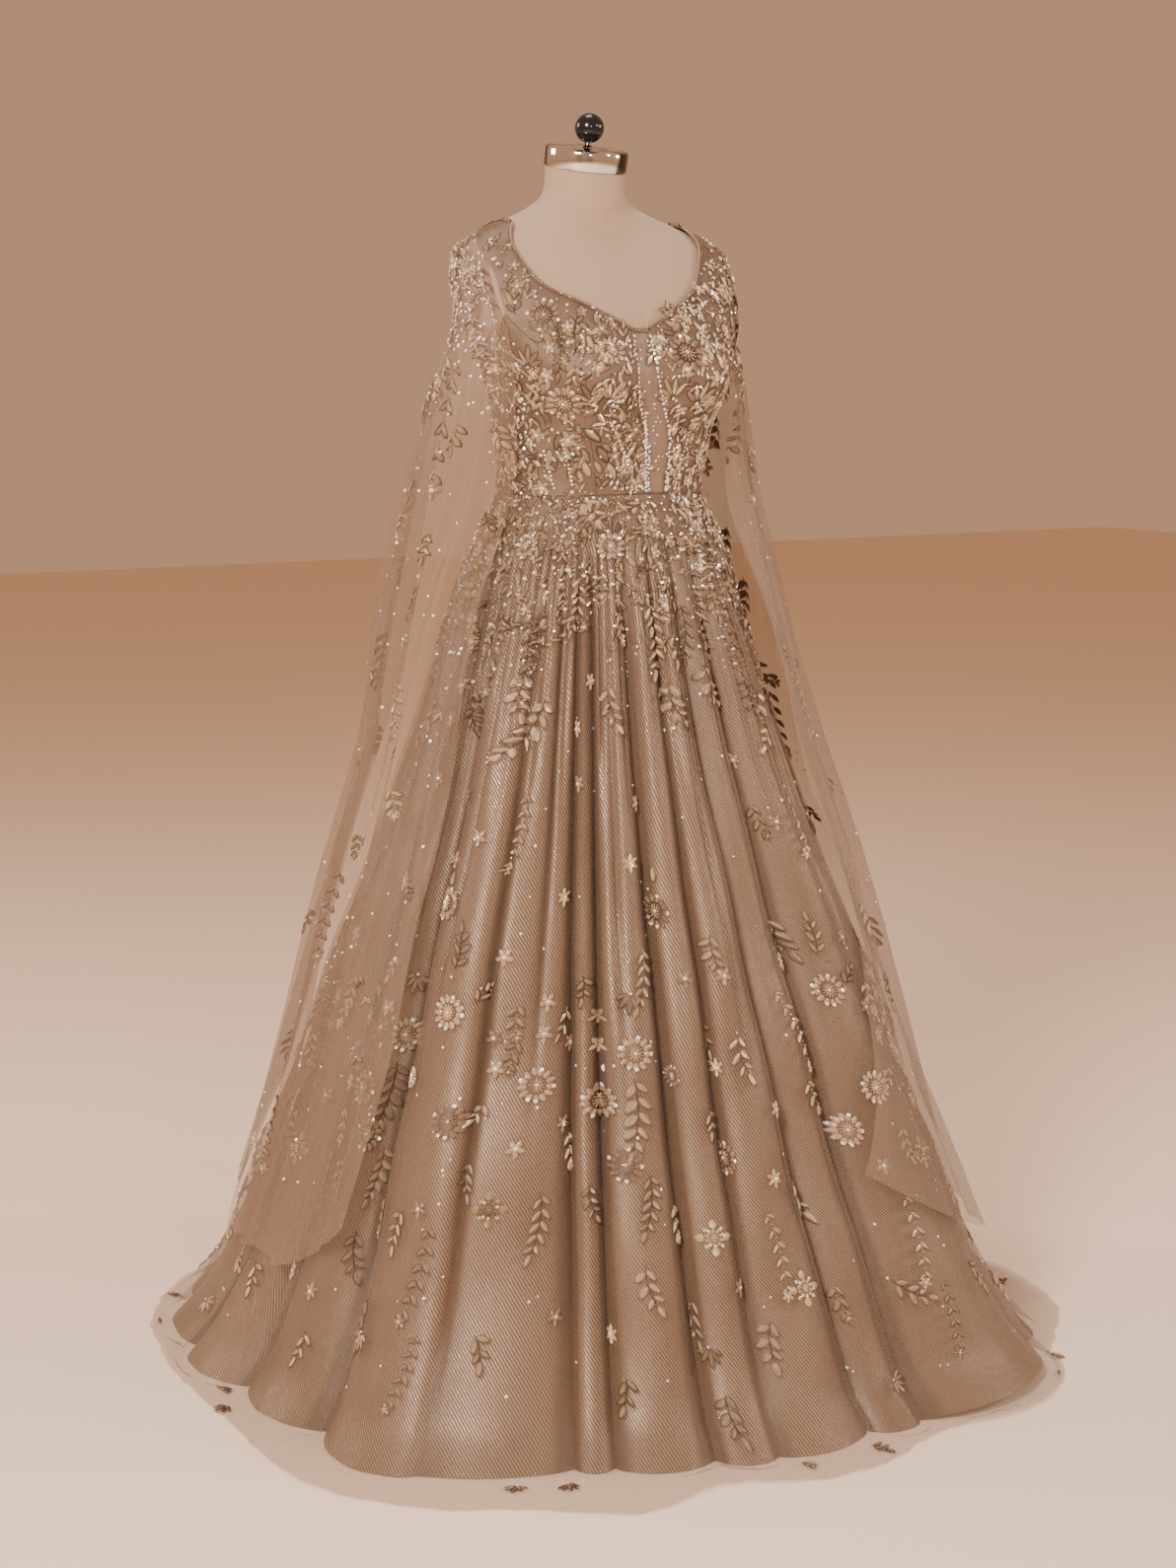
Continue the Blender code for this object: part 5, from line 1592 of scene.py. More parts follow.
@dataclass
class DressForm:
    """The limbless form, its neck cap, knob, arm plates and stand."""

    figure: Figure
    ease: float = 0.0022
    bust_rise: float = 0.023
    neck_tilt: float = 11.0
    neck_base: float = 1.52
    neck_top: float = 1.622
    cap_radius: float = 0.0575
    cap_height: float = 0.028
    knob_radius: float = 0.020
    stem_radius: float = 0.0045
    stem_height: float = 0.0065
    seam_gap: float = 0.0003
    segments: int = 144
    seam_height: float = 1.570

    def surface(self, degrees: Array, height: Array, sink: Array | float = 0.0) -> Array:
        """Points of the cover, tilted up to the neck.

        Args:
            degrees: angles from the front.
            height: height over the floor.
            sink: how far it is pressed in.

        Returns:
            The points.
        """
        angle = np.radians(degrees)
        ease = self.ease * np.clip((1.575 - height) / 0.03, 0, 1)
        radius = self.figure.radius(angle, height, self.bust_rise) - ease - sink
        limit = self.figure.arm_plane(height)
        x = np.clip(radius * np.sin(angle), -limit, limit)
        centre = self.figure.profiles[3](height)
        y = centre - radius * np.cos(angle)
        share = np.clip((height - self.neck_base) / 0.05, 0, 1)
        lean = math.tan(math.radians(self.neck_tilt)) * (y - centre) * share
        return np.stack([x, y, height + lean], -1)

    def build_cover(self, material: bpy.types.Material) -> None:
        """The cover, with its neck seam and its centre seams pressed in."""
        heights = np.concatenate([np.linspace(0.90, 1.36, 20), np.linspace(1.37, self.neck_top, 64)])
        even = 360 * np.arange(self.segments) / self.segments
        seam = np.array([-1.4, -1.0, -0.7, -0.4, -0.2, 0.2, 0.4, 0.7, 1.0, 1.4])
        degrees = np.sort(np.concatenate([even, seam % 360, 180 + seam]))
        ring = np.exp(-(((heights - self.seam_height) / 0.0020) ** 2))[:, None]
        side = np.minimum(np.abs((degrees + 180) % 360 - 180), np.abs(degrees - 180))
        centre = np.exp(-((side / 0.55) ** 2))[None, :]
        below = (heights < self.seam_height)[:, None]
        sink = 0.0013 * np.maximum(ring, centre * below)
        grid = self.surface(degrees[None, :], heights[:, None], sink)
        rows, columns = grid.shape[:2]
        index = np.arange(rows * columns).reshape(rows, columns)
        after = np.roll(index, -1, axis=1)
        quads = np.stack([index[:-1], after[:-1], after[1:], index[1:]], -1).reshape(-1, 4)
        faces = [*quads, tuple(index[0][::-1]), tuple(index[-1])]
        made = make_object("form_cover", grid.reshape(-1, 3), faces, [material])
        fix_normals(made)
        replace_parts(made, "form_body")

    def build_neck(self, chrome: bpy.types.Material, black: bpy.types.Material) -> None:
        """The chrome cap, its stem and the ball knob."""
        lean = Matrix.Rotation(math.radians(self.neck_tilt), 4, "X")
        place = Matrix.Translation((0, 0.032, self.neck_top)) @ lean
        low, top, r = self.seam_gap, self.seam_gap + self.cap_height, self.cap_radius
        outline = [(0, top), (r - 0.010, top), (r - 0.004, top - 0.0003), (r - 0.0012, top - 0.0014),
                   (r, top - 0.004), (r, low + 0.0016), (r - 0.0008, low + 0.0004),
                   (r - 0.002, low), (0, low)]
        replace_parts(turned("neck_cap", outline, place, chrome, 96), "form_neck_cap")
        low = self.cap_height + 2 * self.seam_gap
        high = low + self.stem_height
        s = self.stem_radius
        stem = [(0, high), (s, high), (s * 0.86, (low + high) / 2), (s * 1.5, low + 0.001),
                (s * 1.6, low), (0, low)]
        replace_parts(turned("knob_stem", stem, place, chrome, 32), "form_knob_stem")
        low = high + self.seam_gap
        foot = math.asin((s + 0.001) / self.knob_radius)
        centre = low + self.knob_radius * math.cos(foot)
        turns = np.linspace(math.pi, foot, 28)[1:]
        ball = [(self.knob_radius * math.sin(a), centre - self.knob_radius * math.cos(a)) for a in turns]
        outline = [(0, centre + self.knob_radius), *ball, (0, low)]
        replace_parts(turned("ball_knob", outline, place, black, 64), "form_knob")

    def build_plates(self, material: bpy.types.Material) -> None:
        """The oval plates over the cut arms."""
        for hand, side in (("left", 1), ("right", -1)):
            place = Matrix.Translation((side * (self.figure.arm_plane(1.440) + 0.0006), 0.004, 1.440))
            place = place @ Matrix.Rotation(side * (math.pi / 2 + math.atan(self.figure.arm_lean)), 4, "Y")
            place = place @ Matrix.Diagonal((0.053, 0.042, 1.0, 1.0))
            outline = [(0, 0.0040), (0.90, 0.0040), (0.93, 0.0034), (0.95, 0.0036), (0.985, 0.0032),
                       (1.0, 0.0020), (1.0, 0.0), (0, 0.0)]
            made = turned(f"arm_plate_{hand}", outline, place, material, 72)
            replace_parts(made, f"form_arm_plate_{hand}")

    def build(self) -> None:
        """Builds the whole form."""
        self.build_cover(Linen().make())
        # The chrome gets dark reflection bands painted into its colour.
        chrome = Metal("polished_chrome", (0.86, 0.85, 0.85), 0.08, 1.0, streaks=34.0).make()
        self.build_neck(chrome, Metal("black_gloss", (0.010, 0.010, 0.012), 0.14, 0.0).make())
        self.build_plates(Linen((0.52, 0.42, 0.36)).make())
        steel = Metal("painted_steel", (0.045, 0.045, 0.047), 0.42, 0.2).make()
        for node in ("stand_pole", "stand_base"):
            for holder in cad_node(node).material_slots:
                holder.material = steel
        log.info("dress form and stand")


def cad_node(name: str) -> bpy.types.Object:
    """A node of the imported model."""
    return FRAME["nodes"][name]


FRAME: dict = {}


def grid_area(grid: Grid) -> float:
    """The area of a grid of points in square metres."""
    a, b = grid[:-1, :-1], grid[1:, 1:]
    c, d = grid[1:, :-1], grid[:-1, 1:]
    return float(np.linalg.norm(np.cross(b - a, c - d), axis=-1).sum() / 2)


def declare_cloth(made: bpy.types.Object, grid: Grid) -> None:
    """Logs a panel's flat size, measured along its own weave, and its area.

    Args:
        made: the panel.
        grid: the points of its inner side.
    """
    lengths = weave_lengths(grid)
    width = float(np.ptp(lengths[..., 0], axis=1).max())
    length = float(lengths[-1, :, 1].mean())
    flat = (round(width, 3), round(length, 3))
    area = round(min(grid_area(grid), 0.999 * flat[0] * flat[1]), 4)
    log.info("%s: cut %.0f x %.0f mm, %.3f square metres", made.name, flat[0] * 1000, flat[1] * 1000, area)


@dataclass
class Bodice:
    """The seamed bodice, its binding and its boned seams."""

    figure: Figure
    cloth: BodiceCloth
    seam_gap: float = 0.0003

    def rows(self, levels: Sequence[Level], per_level: int) -> list[Array]:
        """The table's four columns, drawn out smoothly."""
        index = np.arange(len(levels))
        fine = np.linspace(0, len(levels) - 1, (len(levels) - 1) * per_level + 1)
        return [Profile(index, [level[k] for level in levels])(fine) for k in range(4)]

    def panel(self, levels: Sequence[Level], columns: int, sag: float, step: float) -> tuple[Grid, Grid]:
        """Inside and outside of a panel of the wearer's left.

        Args:
            levels: the panel's table.
            columns: how many faces it has across.
            sag: how far its upper edge is scooped.
            step: how far its last row moves to leave the shoulder seam open, or 0 without one.

        Returns:
            The two grids.
        """
        inner_deg, inner_z, outer_deg, outer_z = (row[:, None] for row in self.rows(levels, 6))
        t = np.linspace(0, 1, columns + 1)[None, :]
        trim = self.seam_gap / 2 / 0.14 * 57.3 / np.maximum(outer_deg - inner_deg, 6.0)
        t = trim + t * (1 - 2 * trim)
        down = np.linspace(0, 1, len(inner_deg))[:, None]
        degrees = inner_deg + (outer_deg - inner_deg) * t
        heights = inner_z + (outer_z - inner_z) * t - sag * down**4 * 4 * t * (1 - t)
        guess = self.figure.on(degrees, heights)
        last = len(levels) - 1
        strap = np.clip(down * last - (last - 1), 0, 1) * (step != 0)
        clearance = FORM_CLEARANCE * (1 - strap) + 0 * t
        grids = [self.figure.settle(guess, clearance + wall) for wall in (0.0, BODICE_WALL)]
        for grid in grids:
            grid[-1, :, 1] += step
        return grids[0], grids[1]

    def build_panels(self, satin: bpy.types.Material, net: bpy.types.Material) -> None:
        """The gusset, fronts, sides and backs."""
        half = self.seam_gap / 2
        for hand, side in (("left", 1), ("right", -1)):
            panels = (("front", front_levels(side), 34, 0.0, -half), ("side", SIDE_PANEL, 26, 0.014, 0.0),
                      ("back", BACK_PANEL, 40, 0.0, half))
            for piece, levels, columns, sag, step in panels:
                mirror = np.array([side, 1.0, 1.0])
                inside, outside = (grid * mirror for grid in self.panel(levels, columns, sag, step))
                name = f"bodice_{piece}_{hand}"
                made = grid_shell(f"{name}_cloth", inside, outside, satin)
                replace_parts(made, name)
                declare_cloth(made, inside)
        left, height, _, _ = self.rows(front_levels(1)[:GUSSET_LEVELS], 6)
        right = -self.rows(front_levels(-1)[:GUSSET_LEVELS], 6)[0]
        t = np.linspace(0.006, 0.994, 13)[None, :]
        guess = self.figure.on(right[:, None] + (left - right)[:, None] * t, height[:, None] + 0 * t)
        inner, outer = (self.figure.settle(guess, off) for off in (FORM_CLEARANCE, FORM_CLEARANCE + 0.0006))
        made = grid_shell("bodice_gusset_net", inner, outer, net)
        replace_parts(made, "bodice_gusset")
        declare_cloth(made, inner)

    def neckline(self, side: int) -> Array:
        """Angles and heights of half the neckline, from the centre front to the centre back."""
        inner_deg, inner_z, _, _ = self.rows(front_levels(side)[GUSSET_LEVELS - 1:], 8)
        _, _, outer_deg, outer_z = self.rows(BACK_PANEL[GUSSET_LEVELS - 1:], 8)
        front = np.stack([side * inner_deg, inner_z], -1)
        back = np.stack([side * outer_deg, outer_z], -1)[::-1]
        return np.concatenate([front, back[1:]])

    def build_binding(self, material: bpy.types.Material) -> None:
        """The twisted cord round the neck, and a second finer one beside it."""
        left, right = self.neckline(1), self.neckline(-1)
        middle = np.stack([np.linspace(right[0, 0], left[0, 0], 7), np.full(7, left[0, 1])], -1)[1:-1]
        whole = np.concatenate([left, right[-2::-1], middle])
        strap = smooth(np.abs(np.abs(whole[:, 0]) - 90), 6.0, 0.0)
        lift = FORM_CLEARANCE * (1 - strap) + 0.0029
        edge = self.figure.settle(self.figure.on(whole[:, 0], whole[:, 1]), lift)
        tangent = unit(np.roll(edge, -1, axis=0) - np.roll(edge, 1, axis=0))
        inward = unit(np.cross(tangent, self.figure.slope(edge)))
        towards = np.array([0, 0.01, 1.56]) - edge
        inward = np.where(np.sum(inward * towards, -1, keepdims=True) > 0, inward, -inward)
        for _ in range(3):
            inward = unit(inward + 0.5 * (np.roll(inward, 1, axis=0) + np.roll(inward, -1, axis=0)))
        path = edge + inward * 0.0025
        made = tube("neck_cord", path, 0.0019, material, closed=True, sides=10, twist=150)
        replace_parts(made, "neck_binding")
        beside = edge - inward * 0.0010 + self.figure.slope(edge) * 0.0008
        tube("neck_edge_cord", beside, 0.0010, material, closed=True, sides=6, twist=260)

    def build_seams(self, material: bpy.types.Material) -> None:
        """Fine cords over the princess seams, the gusset's edges and the waist."""
        for hand, side in (("left", 1), ("right", -1)):
            inner_deg, inner_z, outer_deg, outer_z = self.rows(front_levels(side), 6)
            seams = {"princess": (outer_deg[:43], outer_z[:43]), "gusset": (inner_deg[:37], inner_z[:37])}
            for name, (degrees, heights) in seams.items():
                path = self.cloth.at(degrees, heights) * np.array([side, 1.0, 1.0])
                tube(f"{name}_seam_{hand}", path, 0.0010, material, sides=6, twist=240)
        degrees = np.linspace(-180, 180, 241)[:-1]
        path = self.cloth.at(degrees, np.full(240, WAIST_HEIGHT + 0.0006)) * np.array([0.997, 0.997, 1.0])
        tube("waist_seam", path, 0.0011, material, closed=True, sides=8, twist=200)

    def build(self) -> None:
        """Builds the bodice."""
        satin = Satin().make()
        self.build_panels(satin, Net("gusset_net", (0.25, 0.162, 0.108), 0.70, 0.25).make())
        cord = Bead("seam_cord", (0.30, 0.19, 0.13), (0.44, 0.30, 0.22), 0.40, 0.35).make()
        self.build_binding(cord)
        self.build_seams(cord)
        log.info("bodice")


GORES = (("back_right", -171.0, -92.0), ("front_right", -92.0, 5.0),
         ("front_left", 5.0, 95.0), ("back_left", 95.0, 189.0))


@dataclass
class Skirts:
    """The metallic skirt and the net over it, in four gores each."""

    cloth: SkirtCloth
    net: SkirtCloth
    per_degree: float = 1.56
    rows: int = 72
    net_wall: float = 0.0004

    def build(self) -> None:
        """Builds the eight gores."""
        lame, net = Lame().make(), Net("overlay_net").make()
        drop = WAIST_HEIGHT * np.linspace(0.0003, 1.0, self.rows) ** 0.92
        fringe = WAIST_HEIGHT + np.array([0.004, 0.010, 0.017, 0.027, 0.038, 0.050,
                                          0.062, 0.074, 0.086, 0.094, 0.100])
        long_drop = np.concatenate([drop, fringe])
        for where, start, end in GORES:
            count = int((end - start) * self.per_degree)
            q = np.linspace(start + 0.04, end - 0.04, count + 1)
            self.sew_gore(f"skirt_{where}", self.cloth, q, drop, SKIRT_WALL * 0.6, lame)
            self.sew_gore(f"overlay_{where}", self.net, q, long_drop, self.net_wall, net)
        log.info("skirt and overlay")

    def sew_gore(self, node: str, cloth: SkirtCloth, q: Array, drop: Array, wall: float,
                 material: bpy.types.Material) -> None:
        """One gore as a thin shell, with its cut size and area logged.

        Args:
            node: the CAD node that it replaces.
            cloth: its surface.
            q: its hem angles.
            drop: its distances down from the waist.
            wall: its thickness.
            material: its finish.
        """
        inner = cloth.at(q[None, :], drop[:, None])
        across, down = np.broadcast_arrays(q[None, :], drop[:, None])
        _, _, out = normals(cloth, across, down, 0.12, 0.002)
        out[0] *= np.array([1.0, 1.0, 0.0])
        outer = inner + unit(out) * wall
        outer[..., 2] = np.maximum(outer[..., 2], inner[..., 2].clip(0.0002))
        inner[..., 2] = inner[..., 2].clip(0.0)
        made = grid_shell(f"{node}_cloth", inner, outer, material)
        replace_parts(made, node)
        declare_cloth(made, inner)


@dataclass
class Capes:
    """The two cape sleeves."""

    left: CapeCloth
    right: CapeCloth
    across: int = 72
    down: int = 96
    wall: float = 0.0004

    def build(self) -> None:
        """Builds both sleeves."""
        net = Net("cape_net", (0.29, 0.18, 0.118), 0.15, 0.17).make()
        u = np.linspace(0, 1, self.across + 1)
        v = np.linspace(0, 1, self.down + 1) ** 1.25
        for hand, cloth in (("left", self.left), ("right", self.right)):
            inner = cloth.at(u[None, :], v[:, None])
            _, _, out = normals(cloth, np.clip(u, 0.002, 0.998)[None, :] + 0 * v[:, None],
                                np.clip(v, 0.002, 0.998)[:, None] + 0 * u[None, :], 0.001, 0.001)
            made = grid_shell(f"cape_sleeve_{hand}_net", inner, inner + out * self.wall, net)
            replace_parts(made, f"cape_sleeve_{hand}")
            declare_cloth(made, inner)
        log.info("cape sleeves")


@dataclass
class Beadwork:
    """All the embroidery, laid out region by region."""

    bodice: BodiceCloth
    overlay: SkirtCloth
    capes: dict[str, CapeCloth]
    book: dict[Kind, Motif] = field(default_factory=motif_book)

    def build(self) -> None:
        """Sews every region."""
        materials = [BEAD_FINISHES[tone].make() for tone in Tone]
        self.sew_bodice(materials)
        self.sew_yoke(materials)
        self.sew_skirt(materials)
        for hand, cloth in self.capes.items():
            self.sew_cape(hand, cloth, materials)
        log.info("embroidery")

    @staticmethod
    def on_bodice(side: int, degrees: float, height: float, margin: float) -> bool:
        """Whether a place lies inside a bodice panel, that many metres from its side edges.

        Args:
            side: 1 for the wearer's left, -1 for the right.
            degrees: angles from the front.
            height: height over the floor.
            margin: metres to keep from the edges.

        Returns:
            Whether it does.
        """
        for levels in (front_levels(side), SIDE_PANEL, BACK_PANEL):
            for low, high in zip(levels, levels[1:]):
                mid_low = (low.inner_z + low.outer_z) / 2
                mid_high = (high.inner_z + high.outer_z) / 2
                if mid_low <= height < mid_high:
                    t = (height - mid_low) / (mid_high - mid_low)
                    inner = low.inner_deg + (high.inner_deg - low.inner_deg) * t
                    outer = low.outer_deg + (high.outer_deg - low.outer_deg) * t
                    edge = margin / 0.15 * 57.3
                    if inner + edge < degrees < outer - edge:
                        return True
        return False

    def sew_bodice(self, materials: Sequence[bpy.types.Material]) -> None:
        """The dense flowers, leaves and beads of the bodice."""
        work = Embroidery("bodice_embroidery", "bodice_satin", self.bodice, 0.4, 0.002, 1.0, self.book, 11)
        rng = np.random.default_rng(404)
        large = list(BODICE_WORK)
        for degrees, height, size in ((110, 1.36, 1.0), (132, 1.30, 1.1), (155, 1.37, 1.0), (118, 1.24, 0.9),
                                      (160, 1.245, 1.0), (84, 1.235, 0.9)):
            large += [Place(Kind.ROSETTE, side * degrees, height, 0, size) for side in (-1, 1)]
        for place in large:
            work.sew(*place)
        reach = {Kind.ROSETTE: 0.021, Kind.FAN: 0.012, Kind.FLOWER: 0.011, Kind.STAR: 0.011}
        rise = {Kind.FAN: 0.012}
        taken = [(p.u, p.v + rise.get(p.kind, 0.0), reach.get(p.kind, 0.008) * p.size) for p in large]
        for side in (-1, 1):
            self.fill_bodice(work, rng, side, taken)
            self.edge_gusset(work, rng, side)
        self.bead_rows(work, rng)
        work.build(materials)

    def fill_bodice(self, work: Embroidery, rng: np.random.Generator, side: int,
                    taken: list[tuple[float, float, float]]) -> None:
        """Leaves, curls and beads between the placed motifs of one side.

        Args:
            work: the embroidery to add to.
            rng: the seeded source of small differences.
            side: 1 for the wearer's left, -1 for the right.
            taken: places and sizes of the motifs already there.
        """
        for height in np.arange(1.193, 1.585, 0.0115):
            for degrees in np.arange(2, 180, 4.5):
                d, h = degrees + rng.uniform(-1.8, 1.8), height + rng.uniform(-0.004, 0.004)
                flow = side * (34 * math.sin(h * 34 + d * 0.07) + 16) + rng.uniform(-30, 30)
                flow += 180 if rng.random() < 0.35 else 0
                reach = 0.006 if h > 1.47 else 0.018
                rise, sweep = reach * math.cos(math.radians(flow)), 380 * reach * math.sin(math.radians(flow))
                inside = all(self.on_bodice(side, d + turn, h + rise, 0.002) for turn in (-sweep, sweep))
                if not (inside and self.on_bodice(side, d, h, 0.0045)) or self.near(taken, side * d, h, 0.14):
                    continue
                strap = h > 1.47
                kind = Kind.STONE if strap and rng.random() < 0.4 else self.pick(rng)
                size = rng.uniform(0.55, 0.75) if strap else rng.uniform(0.75, 1.1)
                work.sew(kind, side * d, h, flow, size)
        for height in np.arange(1.190, 1.585, 0.0072):
            for degrees in np.arange(2, 180, 3.2):
                d, h = degrees + rng.uniform(-1.4, 1.4), height + rng.uniform(-0.003, 0.003)
                if rng.random() < 0.40 and self.on_bodice(side, d, h, 0.0025):
                    if not self.near(taken, side * d, h, 0.14):
                        kind = Kind.BEAD if rng.random() < 0.6 else Kind.CRYSTAL
                        work.sew(kind, side * d, h, 0.0, rng.uniform(0.7, 1.1))

    @staticmethod
    def edge_gusset(work: Embroidery, rng: np.random.Generator, side: int) -> None:
        """Crystals along one edge of the gusset, thickest near the waist.

        Args:
            work: the embroidery to add to.
            rng: the seeded source of small differences.
            side: 1 for the wearer's left, -1 for the right.
        """
        half = columns_of(FRONT_PANEL[:GUSSET_LEVELS], "inner_z", "inner_deg")[0]
        for height in np.arange(1.190, 1.398, 0.0058):
            edge = float(CENTRE_TURN(height)) + side * float(half(height))
            work.sew(Kind.CRYSTAL, edge + rng.uniform(-0.5, 0.5), height + rng.uniform(-0.0012, 0.0012),
                     0, rng.uniform(0.6, 1.0))
            low = max(0.0, (1.290 - height) / 0.10)
            for _ in range(int(rng.uniform(0, 1) + 3.2 * low)):
                place = edge + rng.normal(0, 2.2) + side * 1.0
                work.sew(Kind.CRYSTAL, place, height + rng.uniform(-0.003, 0.003), 0, rng.uniform(0.5, 1.0))
            if rng.random() < 0.30:
                centre = float(CENTRE_TURN(height))
                work.sew(Kind.CRYSTAL, centre + rng.uniform(-5, 5), height, 0, rng.uniform(0.45, 0.8))

    @staticmethod
    def bead_rows(work: Embroidery, rng: np.random.Generator) -> None:
        """Straight rows of crystals that climb from the waist."""
        rows = (((-8, 1.200), (-30, 1.285)), ((2, 1.195), (-6, 1.300)), ((30, 1.200), (34, 1.290)),
                ((-60, 1.195), (-66, 1.250)), ((-50, 1.200), (-58, 1.275)), ((44, 1.200), (56, 1.270)))
        for (start_deg, start_z), (end_deg, end_z) in rows:
            count = int((end_z - start_z) / 0.0052)
            for k in range(count):
                share = k / count
                work.sew(Kind.CRYSTAL, start_deg + (end_deg - start_deg) * share + rng.uniform(-0.4, 0.4),
                         start_z + (end_z - start_z) * share, 0, rng.uniform(0.6, 0.95))

    @staticmethod
    def near(taken: Sequence[tuple[float, float, float]], degrees: float, height: float,
             radius: float) -> bool:
        """Whether a place lies on one of the larger motifs."""
        for d, h, size in taken:
            if math.hypot(math.radians(degrees - d) * radius, height - h) < size:
                return True
        return False

    @staticmethod
    def pick(rng: np.random.Generator) -> Kind:
        """A motif for dense work."""
        kinds = (Kind.LEAF_PAIR, Kind.SPRIG, Kind.LEAF, Kind.LEAF_GOLD, Kind.STONE, Kind.CURL_RIGHT,
                 Kind.CURL_LEFT, Kind.FLOWER, Kind.SPRIG_GOLD)
        shares = (0.20, 0.17, 0.15, 0.11, 0.09, 0.07, 0.08, 0.07, 0.06)
        return kinds[int(rng.choice(len(kinds), p=shares))]

    def sew_yoke(self, materials: Sequence[bpy.types.Material]) -> None:
        """The band of close work below the waist, thinning out down the folds."""
        work = Embroidery("yoke_embroidery", "fine_net", self.overlay, 0.3, 0.002, -1.0, self.book, 21)
        rng = np.random.default_rng(77)
        roses = [(q, 0.0665, 0.9) for q in np.arange(-103, 245, 40) + 0.0]
        roses += [(q + 20, rng.uniform(0.030, 0.09), 0.65) for q in np.arange(-103, 245, 40)]
        for q, drop, size in roses:
            work.sew(Kind.ROSETTE, q, drop, rng.uniform(0, 360), size)
        taken = [(q, drop, 0.019 * size) for q, drop, size in roses]
        for drop in np.arange(0.010, 0.200, 0.0135):
            density = 1.0 if drop < 0.085 else 1.0 - (drop - 0.085) / 0.15
            for q in np.arange(-92, 268, 5.9):
                place, depth = q + rng.uniform(-2.2, 2.2), drop + rng.uniform(-0.005, 0.005)
                if rng.random() > density or self.near(taken, place, depth, 0.16):
                    continue
                turn = 180 + rng.uniform(-50, 50) if rng.random() < 0.65 else rng.uniform(-70, 70)
                work.sew(self.pick(rng), place, depth, turn, rng.uniform(0.7, 1.0))
        for drop in np.arange(0.006, 0.25, 0.0078):
            density = 0.55 if drop < 0.10 else 0.55 * (1 - (drop - 0.10) / 0.17)
            for q in np.arange(-92, 268, 3.6):
                if rng.random() < density:
                    kind = Kind.BEAD if rng.random() < 0.6 else Kind.CRYSTAL
                    place, depth = q + rng.uniform(-1.5, 1.5), drop + rng.uniform(-0.003, 0.003)
                    work.sew(kind, place, depth, 0, rng.uniform(0.6, 1.0))
        for q in np.arange(-91, 268, 8.0):
            kind = (Kind.TRAIL, Kind.SPRAY_LONG, Kind.SPRAY, Kind.BUD)[int(rng.integers(4))]
            place, depth = q + rng.uniform(-2, 2), rng.uniform(0.095, 0.16)
            work.sew(kind, place, depth, 180 + rng.uniform(-12, 12), rng.uniform(0.75, 1.0))
        work.build(materials)

    def sew_skirt(self, materials: Sequence[bpy.types.Material]) -> None:
        """The scattered flowers and sprays of the net overlay, repeated round the back."""
        work = Embroidery("skirt_embroidery", "fine_net", self.overlay, 0.3, 0.002, -1.0, self.book, 31)
        rng = np.random.default_rng(99)
        copies = ((0, -64, 17), (79, 17, 95), (158, 95, 173), (236, 173, 256), (-50, -104, -66))
        for shift, start, end in copies:
            for place in SKIRT_WORK:
                q = place.u + shift
                if start <= q < end:
                    jitter = 0.0 if shift == 0 else 1.0
                    size = place.size * 1.05
                    work.sew(place.kind, q, place.v + jitter * rng.uniform(-0.012, 0.012), place.turn, size)
        for _ in range(460):
            kind = Kind.SEQUIN if rng.random() < 0.6 else Kind.CRYSTAL
            work.sew(kind, rng.uniform(-92, 268), 1.13 * rng.uniform(0.15, 1.0), 0, rng.uniform(0.5, 0.95))
        work.build(materials)

    def sew_cape(self, hand: str, cloth: CapeCloth, materials: Sequence[bpy.types.Material]) -> None:
        """The close work on one shoulder, and the sprays and sequins down its sleeve.

        Args:
            hand: left or right.
            cloth: the surface under it.
            materials: the bead finishes.
        """
        work = Embroidery(f"cape_embroidery_{hand}", "fine_net", cloth, 0.004, 0.002, -1.0, self.book, 41)
        rng = np.random.default_rng(7 if hand == "left" else 8)
        for _ in range(70):
            work.sew(self.pick(rng), rng.uniform(0.04, 0.96), 0.015 + 0.10 * rng.random() ** 1.2,
                     rng.uniform(-50, 50) + 180, rng.uniform(0.6, 0.85))
        for _ in range(150):
            work.sew(Kind.BEAD if rng.random() < 0.5 else Kind.CRYSTAL, rng.uniform(0.02, 0.98),
                     0.008 + 0.30 * rng.random() ** 1.5, 0, rng.uniform(0.6, 1.0))
        kinds = (Kind.SPRIG, Kind.BUD, Kind.FLOWER, Kind.SPRAY, Kind.LEAF_PAIR, Kind.TRAIL)
        for v in np.arange(0.11, 0.97, 0.040):
            for _ in range(3 if v < 0.35 else 2):
                kind = kinds[int(rng.integers(len(kinds)))]
                work.sew(kind, rng.uniform(0.04, 0.96), v + rng.uniform(-0.02, 0.02),
                         180 + rng.uniform(-22, 22), rng.uniform(0.7, 1.0))
        for _ in range(300):
            work.sew(Kind.SEQUIN, rng.uniform(0.02, 0.98), rng.uniform(0.03, 0.97), 0, rng.uniform(0.5, 1.0))
        work.build(materials)


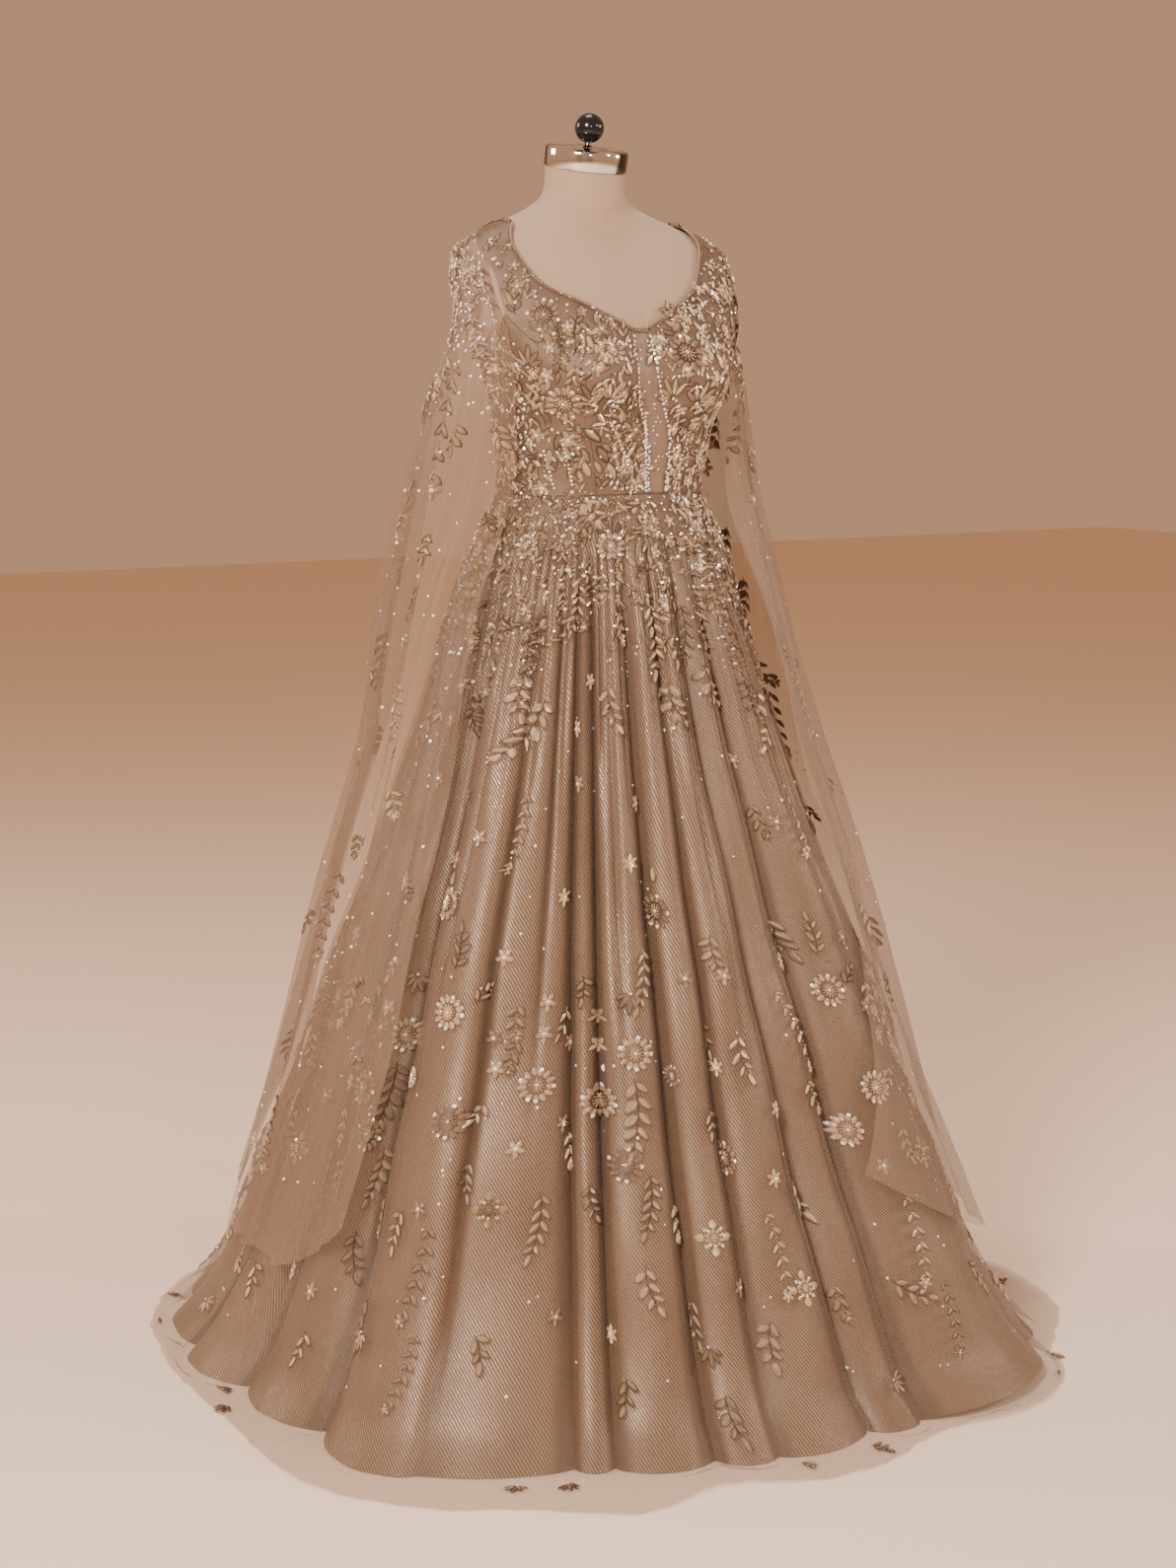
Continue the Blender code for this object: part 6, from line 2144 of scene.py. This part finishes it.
@dataclass(frozen=True)
class Studio:
    """Camera, lights and floor."""

    height: float = 1.37
    distance: float = 4.0
    azimuth: float = -33.0
    pitch: float = 8.44
    focal_px: float = 2930.0
    frame_px: float = 1590.0
    side_step: float = 0.0137

    def build(self) -> None:
        """Builds the studio round the gown."""
        self.build_camera()
        self.build_floor()
        self.build_lights()
        log.info("studio")

    def build_camera(self) -> None:
        """A camera at the photograph's angle."""
        data = bpy.data.cameras.new("camera")
        data.lens = self.focal_px / self.frame_px * 36.0
        data.sensor_width = 36.0
        camera = bpy.data.objects.new("camera", data)
        bpy.context.scene.collection.objects.link(camera)
        turn = math.radians(self.azimuth)
        right = Vector((math.cos(turn), math.sin(turn), 0))
        place = Vector((math.sin(turn), -math.cos(turn), 0)) * self.distance
        camera.location = place - right * self.side_step + Vector((0, 0, self.height))
        camera.rotation_euler = (math.radians(90 - self.pitch), 0, turn)
        bpy.context.scene.camera = camera

    def build_floor(self) -> None:
        """A plain pale floor."""
        material = Shader("pale_floor").finish(Base_Color=(0.93, 0.76, 0.62), Roughness=0.9)
        mesh = bpy.data.meshes.new("floor")
        size = 14.0
        corners = [(-size, -size, 0), (size, -size, 0), (size, size, 0), (-size, size, 0)]
        mesh.from_pydata(corners, [], [(0, 1, 2, 3)])
        floor = bpy.data.objects.new("floor", mesh)
        bpy.context.scene.collection.objects.link(floor)
        floor.location.z = -0.0006
        mesh.materials.append(material)

    def build_lights(self) -> None:
        """Large soft lights and a pale surrounding."""
        lights = (
            ("key", (-3.4, -2.4, 3.2), 1.0, 270.0, (1.0, 0.91, 0.82)),
            ("side", (3.9, -2.2, 2.4), 0.8, 70.0, (1.0, 0.90, 0.80)),
            ("top", (0.2, 0.6, 4.6), 1.4, 50.0, (1.0, 0.92, 0.84)),
            ("rim", (-2.8, 3.0, 2.8), 1.2, 60.0, (1.0, 0.86, 0.72)),
            ("sparkle_left", (-1.6, -4.2, 2.4), 0.25, 32.0, (1.0, 0.97, 0.92)),
            ("sparkle_right", (2.2, -3.6, 3.0), 0.25, 30.0, (1.0, 0.97, 0.92)),
        )
        for name, place, size, power, colour in lights:
            data = bpy.data.lights.new(name, "AREA")
            data.energy, data.size, data.color = power, size, colour
            light = bpy.data.objects.new(name, data)
            bpy.context.scene.collection.objects.link(light)
            light.location = place
            aim = Vector((0, 0, 0.9)) - Vector(place)
            light.rotation_euler = aim.to_track_quat("-Z", "Y").to_euler()
        world = bpy.data.worlds.new("studio")
        world.use_nodes = True
        world.node_tree.nodes["Background"].inputs["Color"].default_value = (1.0, 0.56, 0.32, 1)
        world.node_tree.nodes["Background"].inputs["Strength"].default_value = 0.52
        bpy.context.scene.world = world


def corners(box: tuple[Vector, Vector]) -> list[list[float]]:
    """A box as plain lists of numbers."""
    return [[float(value) for value in corner] for corner in box]


def main() -> None:
    """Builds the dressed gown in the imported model's frame."""
    logging.basicConfig(level=logging.INFO, format="%(name)s: %(message)s")
    FRAME.update(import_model())
    figure = Figure()
    bodice_cloth = BodiceCloth(figure)
    cloth, overlay = SkirtCloth(), SkirtCloth(net=True)
    left, right = CapeCloth(figure, overlay, CAPE_LEFT, 1.0), CapeCloth(figure, overlay, CAPE_RIGHT, -1.0)
    DressForm(figure).build()
    Bodice(figure, bodice_cloth).build()
    Skirts(cloth, overlay).build()
    Capes(left, right).build()
    sewn_net = SkirtCloth(net=True, lift=0.0006)
    capes = {"left": CapeCloth(figure, overlay, CAPE_LEFT, 1.0, lift=0.0006),
             "right": CapeCloth(figure, overlay, CAPE_RIGHT, -1.0, lift=0.0006)}
    Beadwork(bodice_cloth, sewn_net, capes).build()
    Studio().build()


if __name__ == "__main__":
    main()
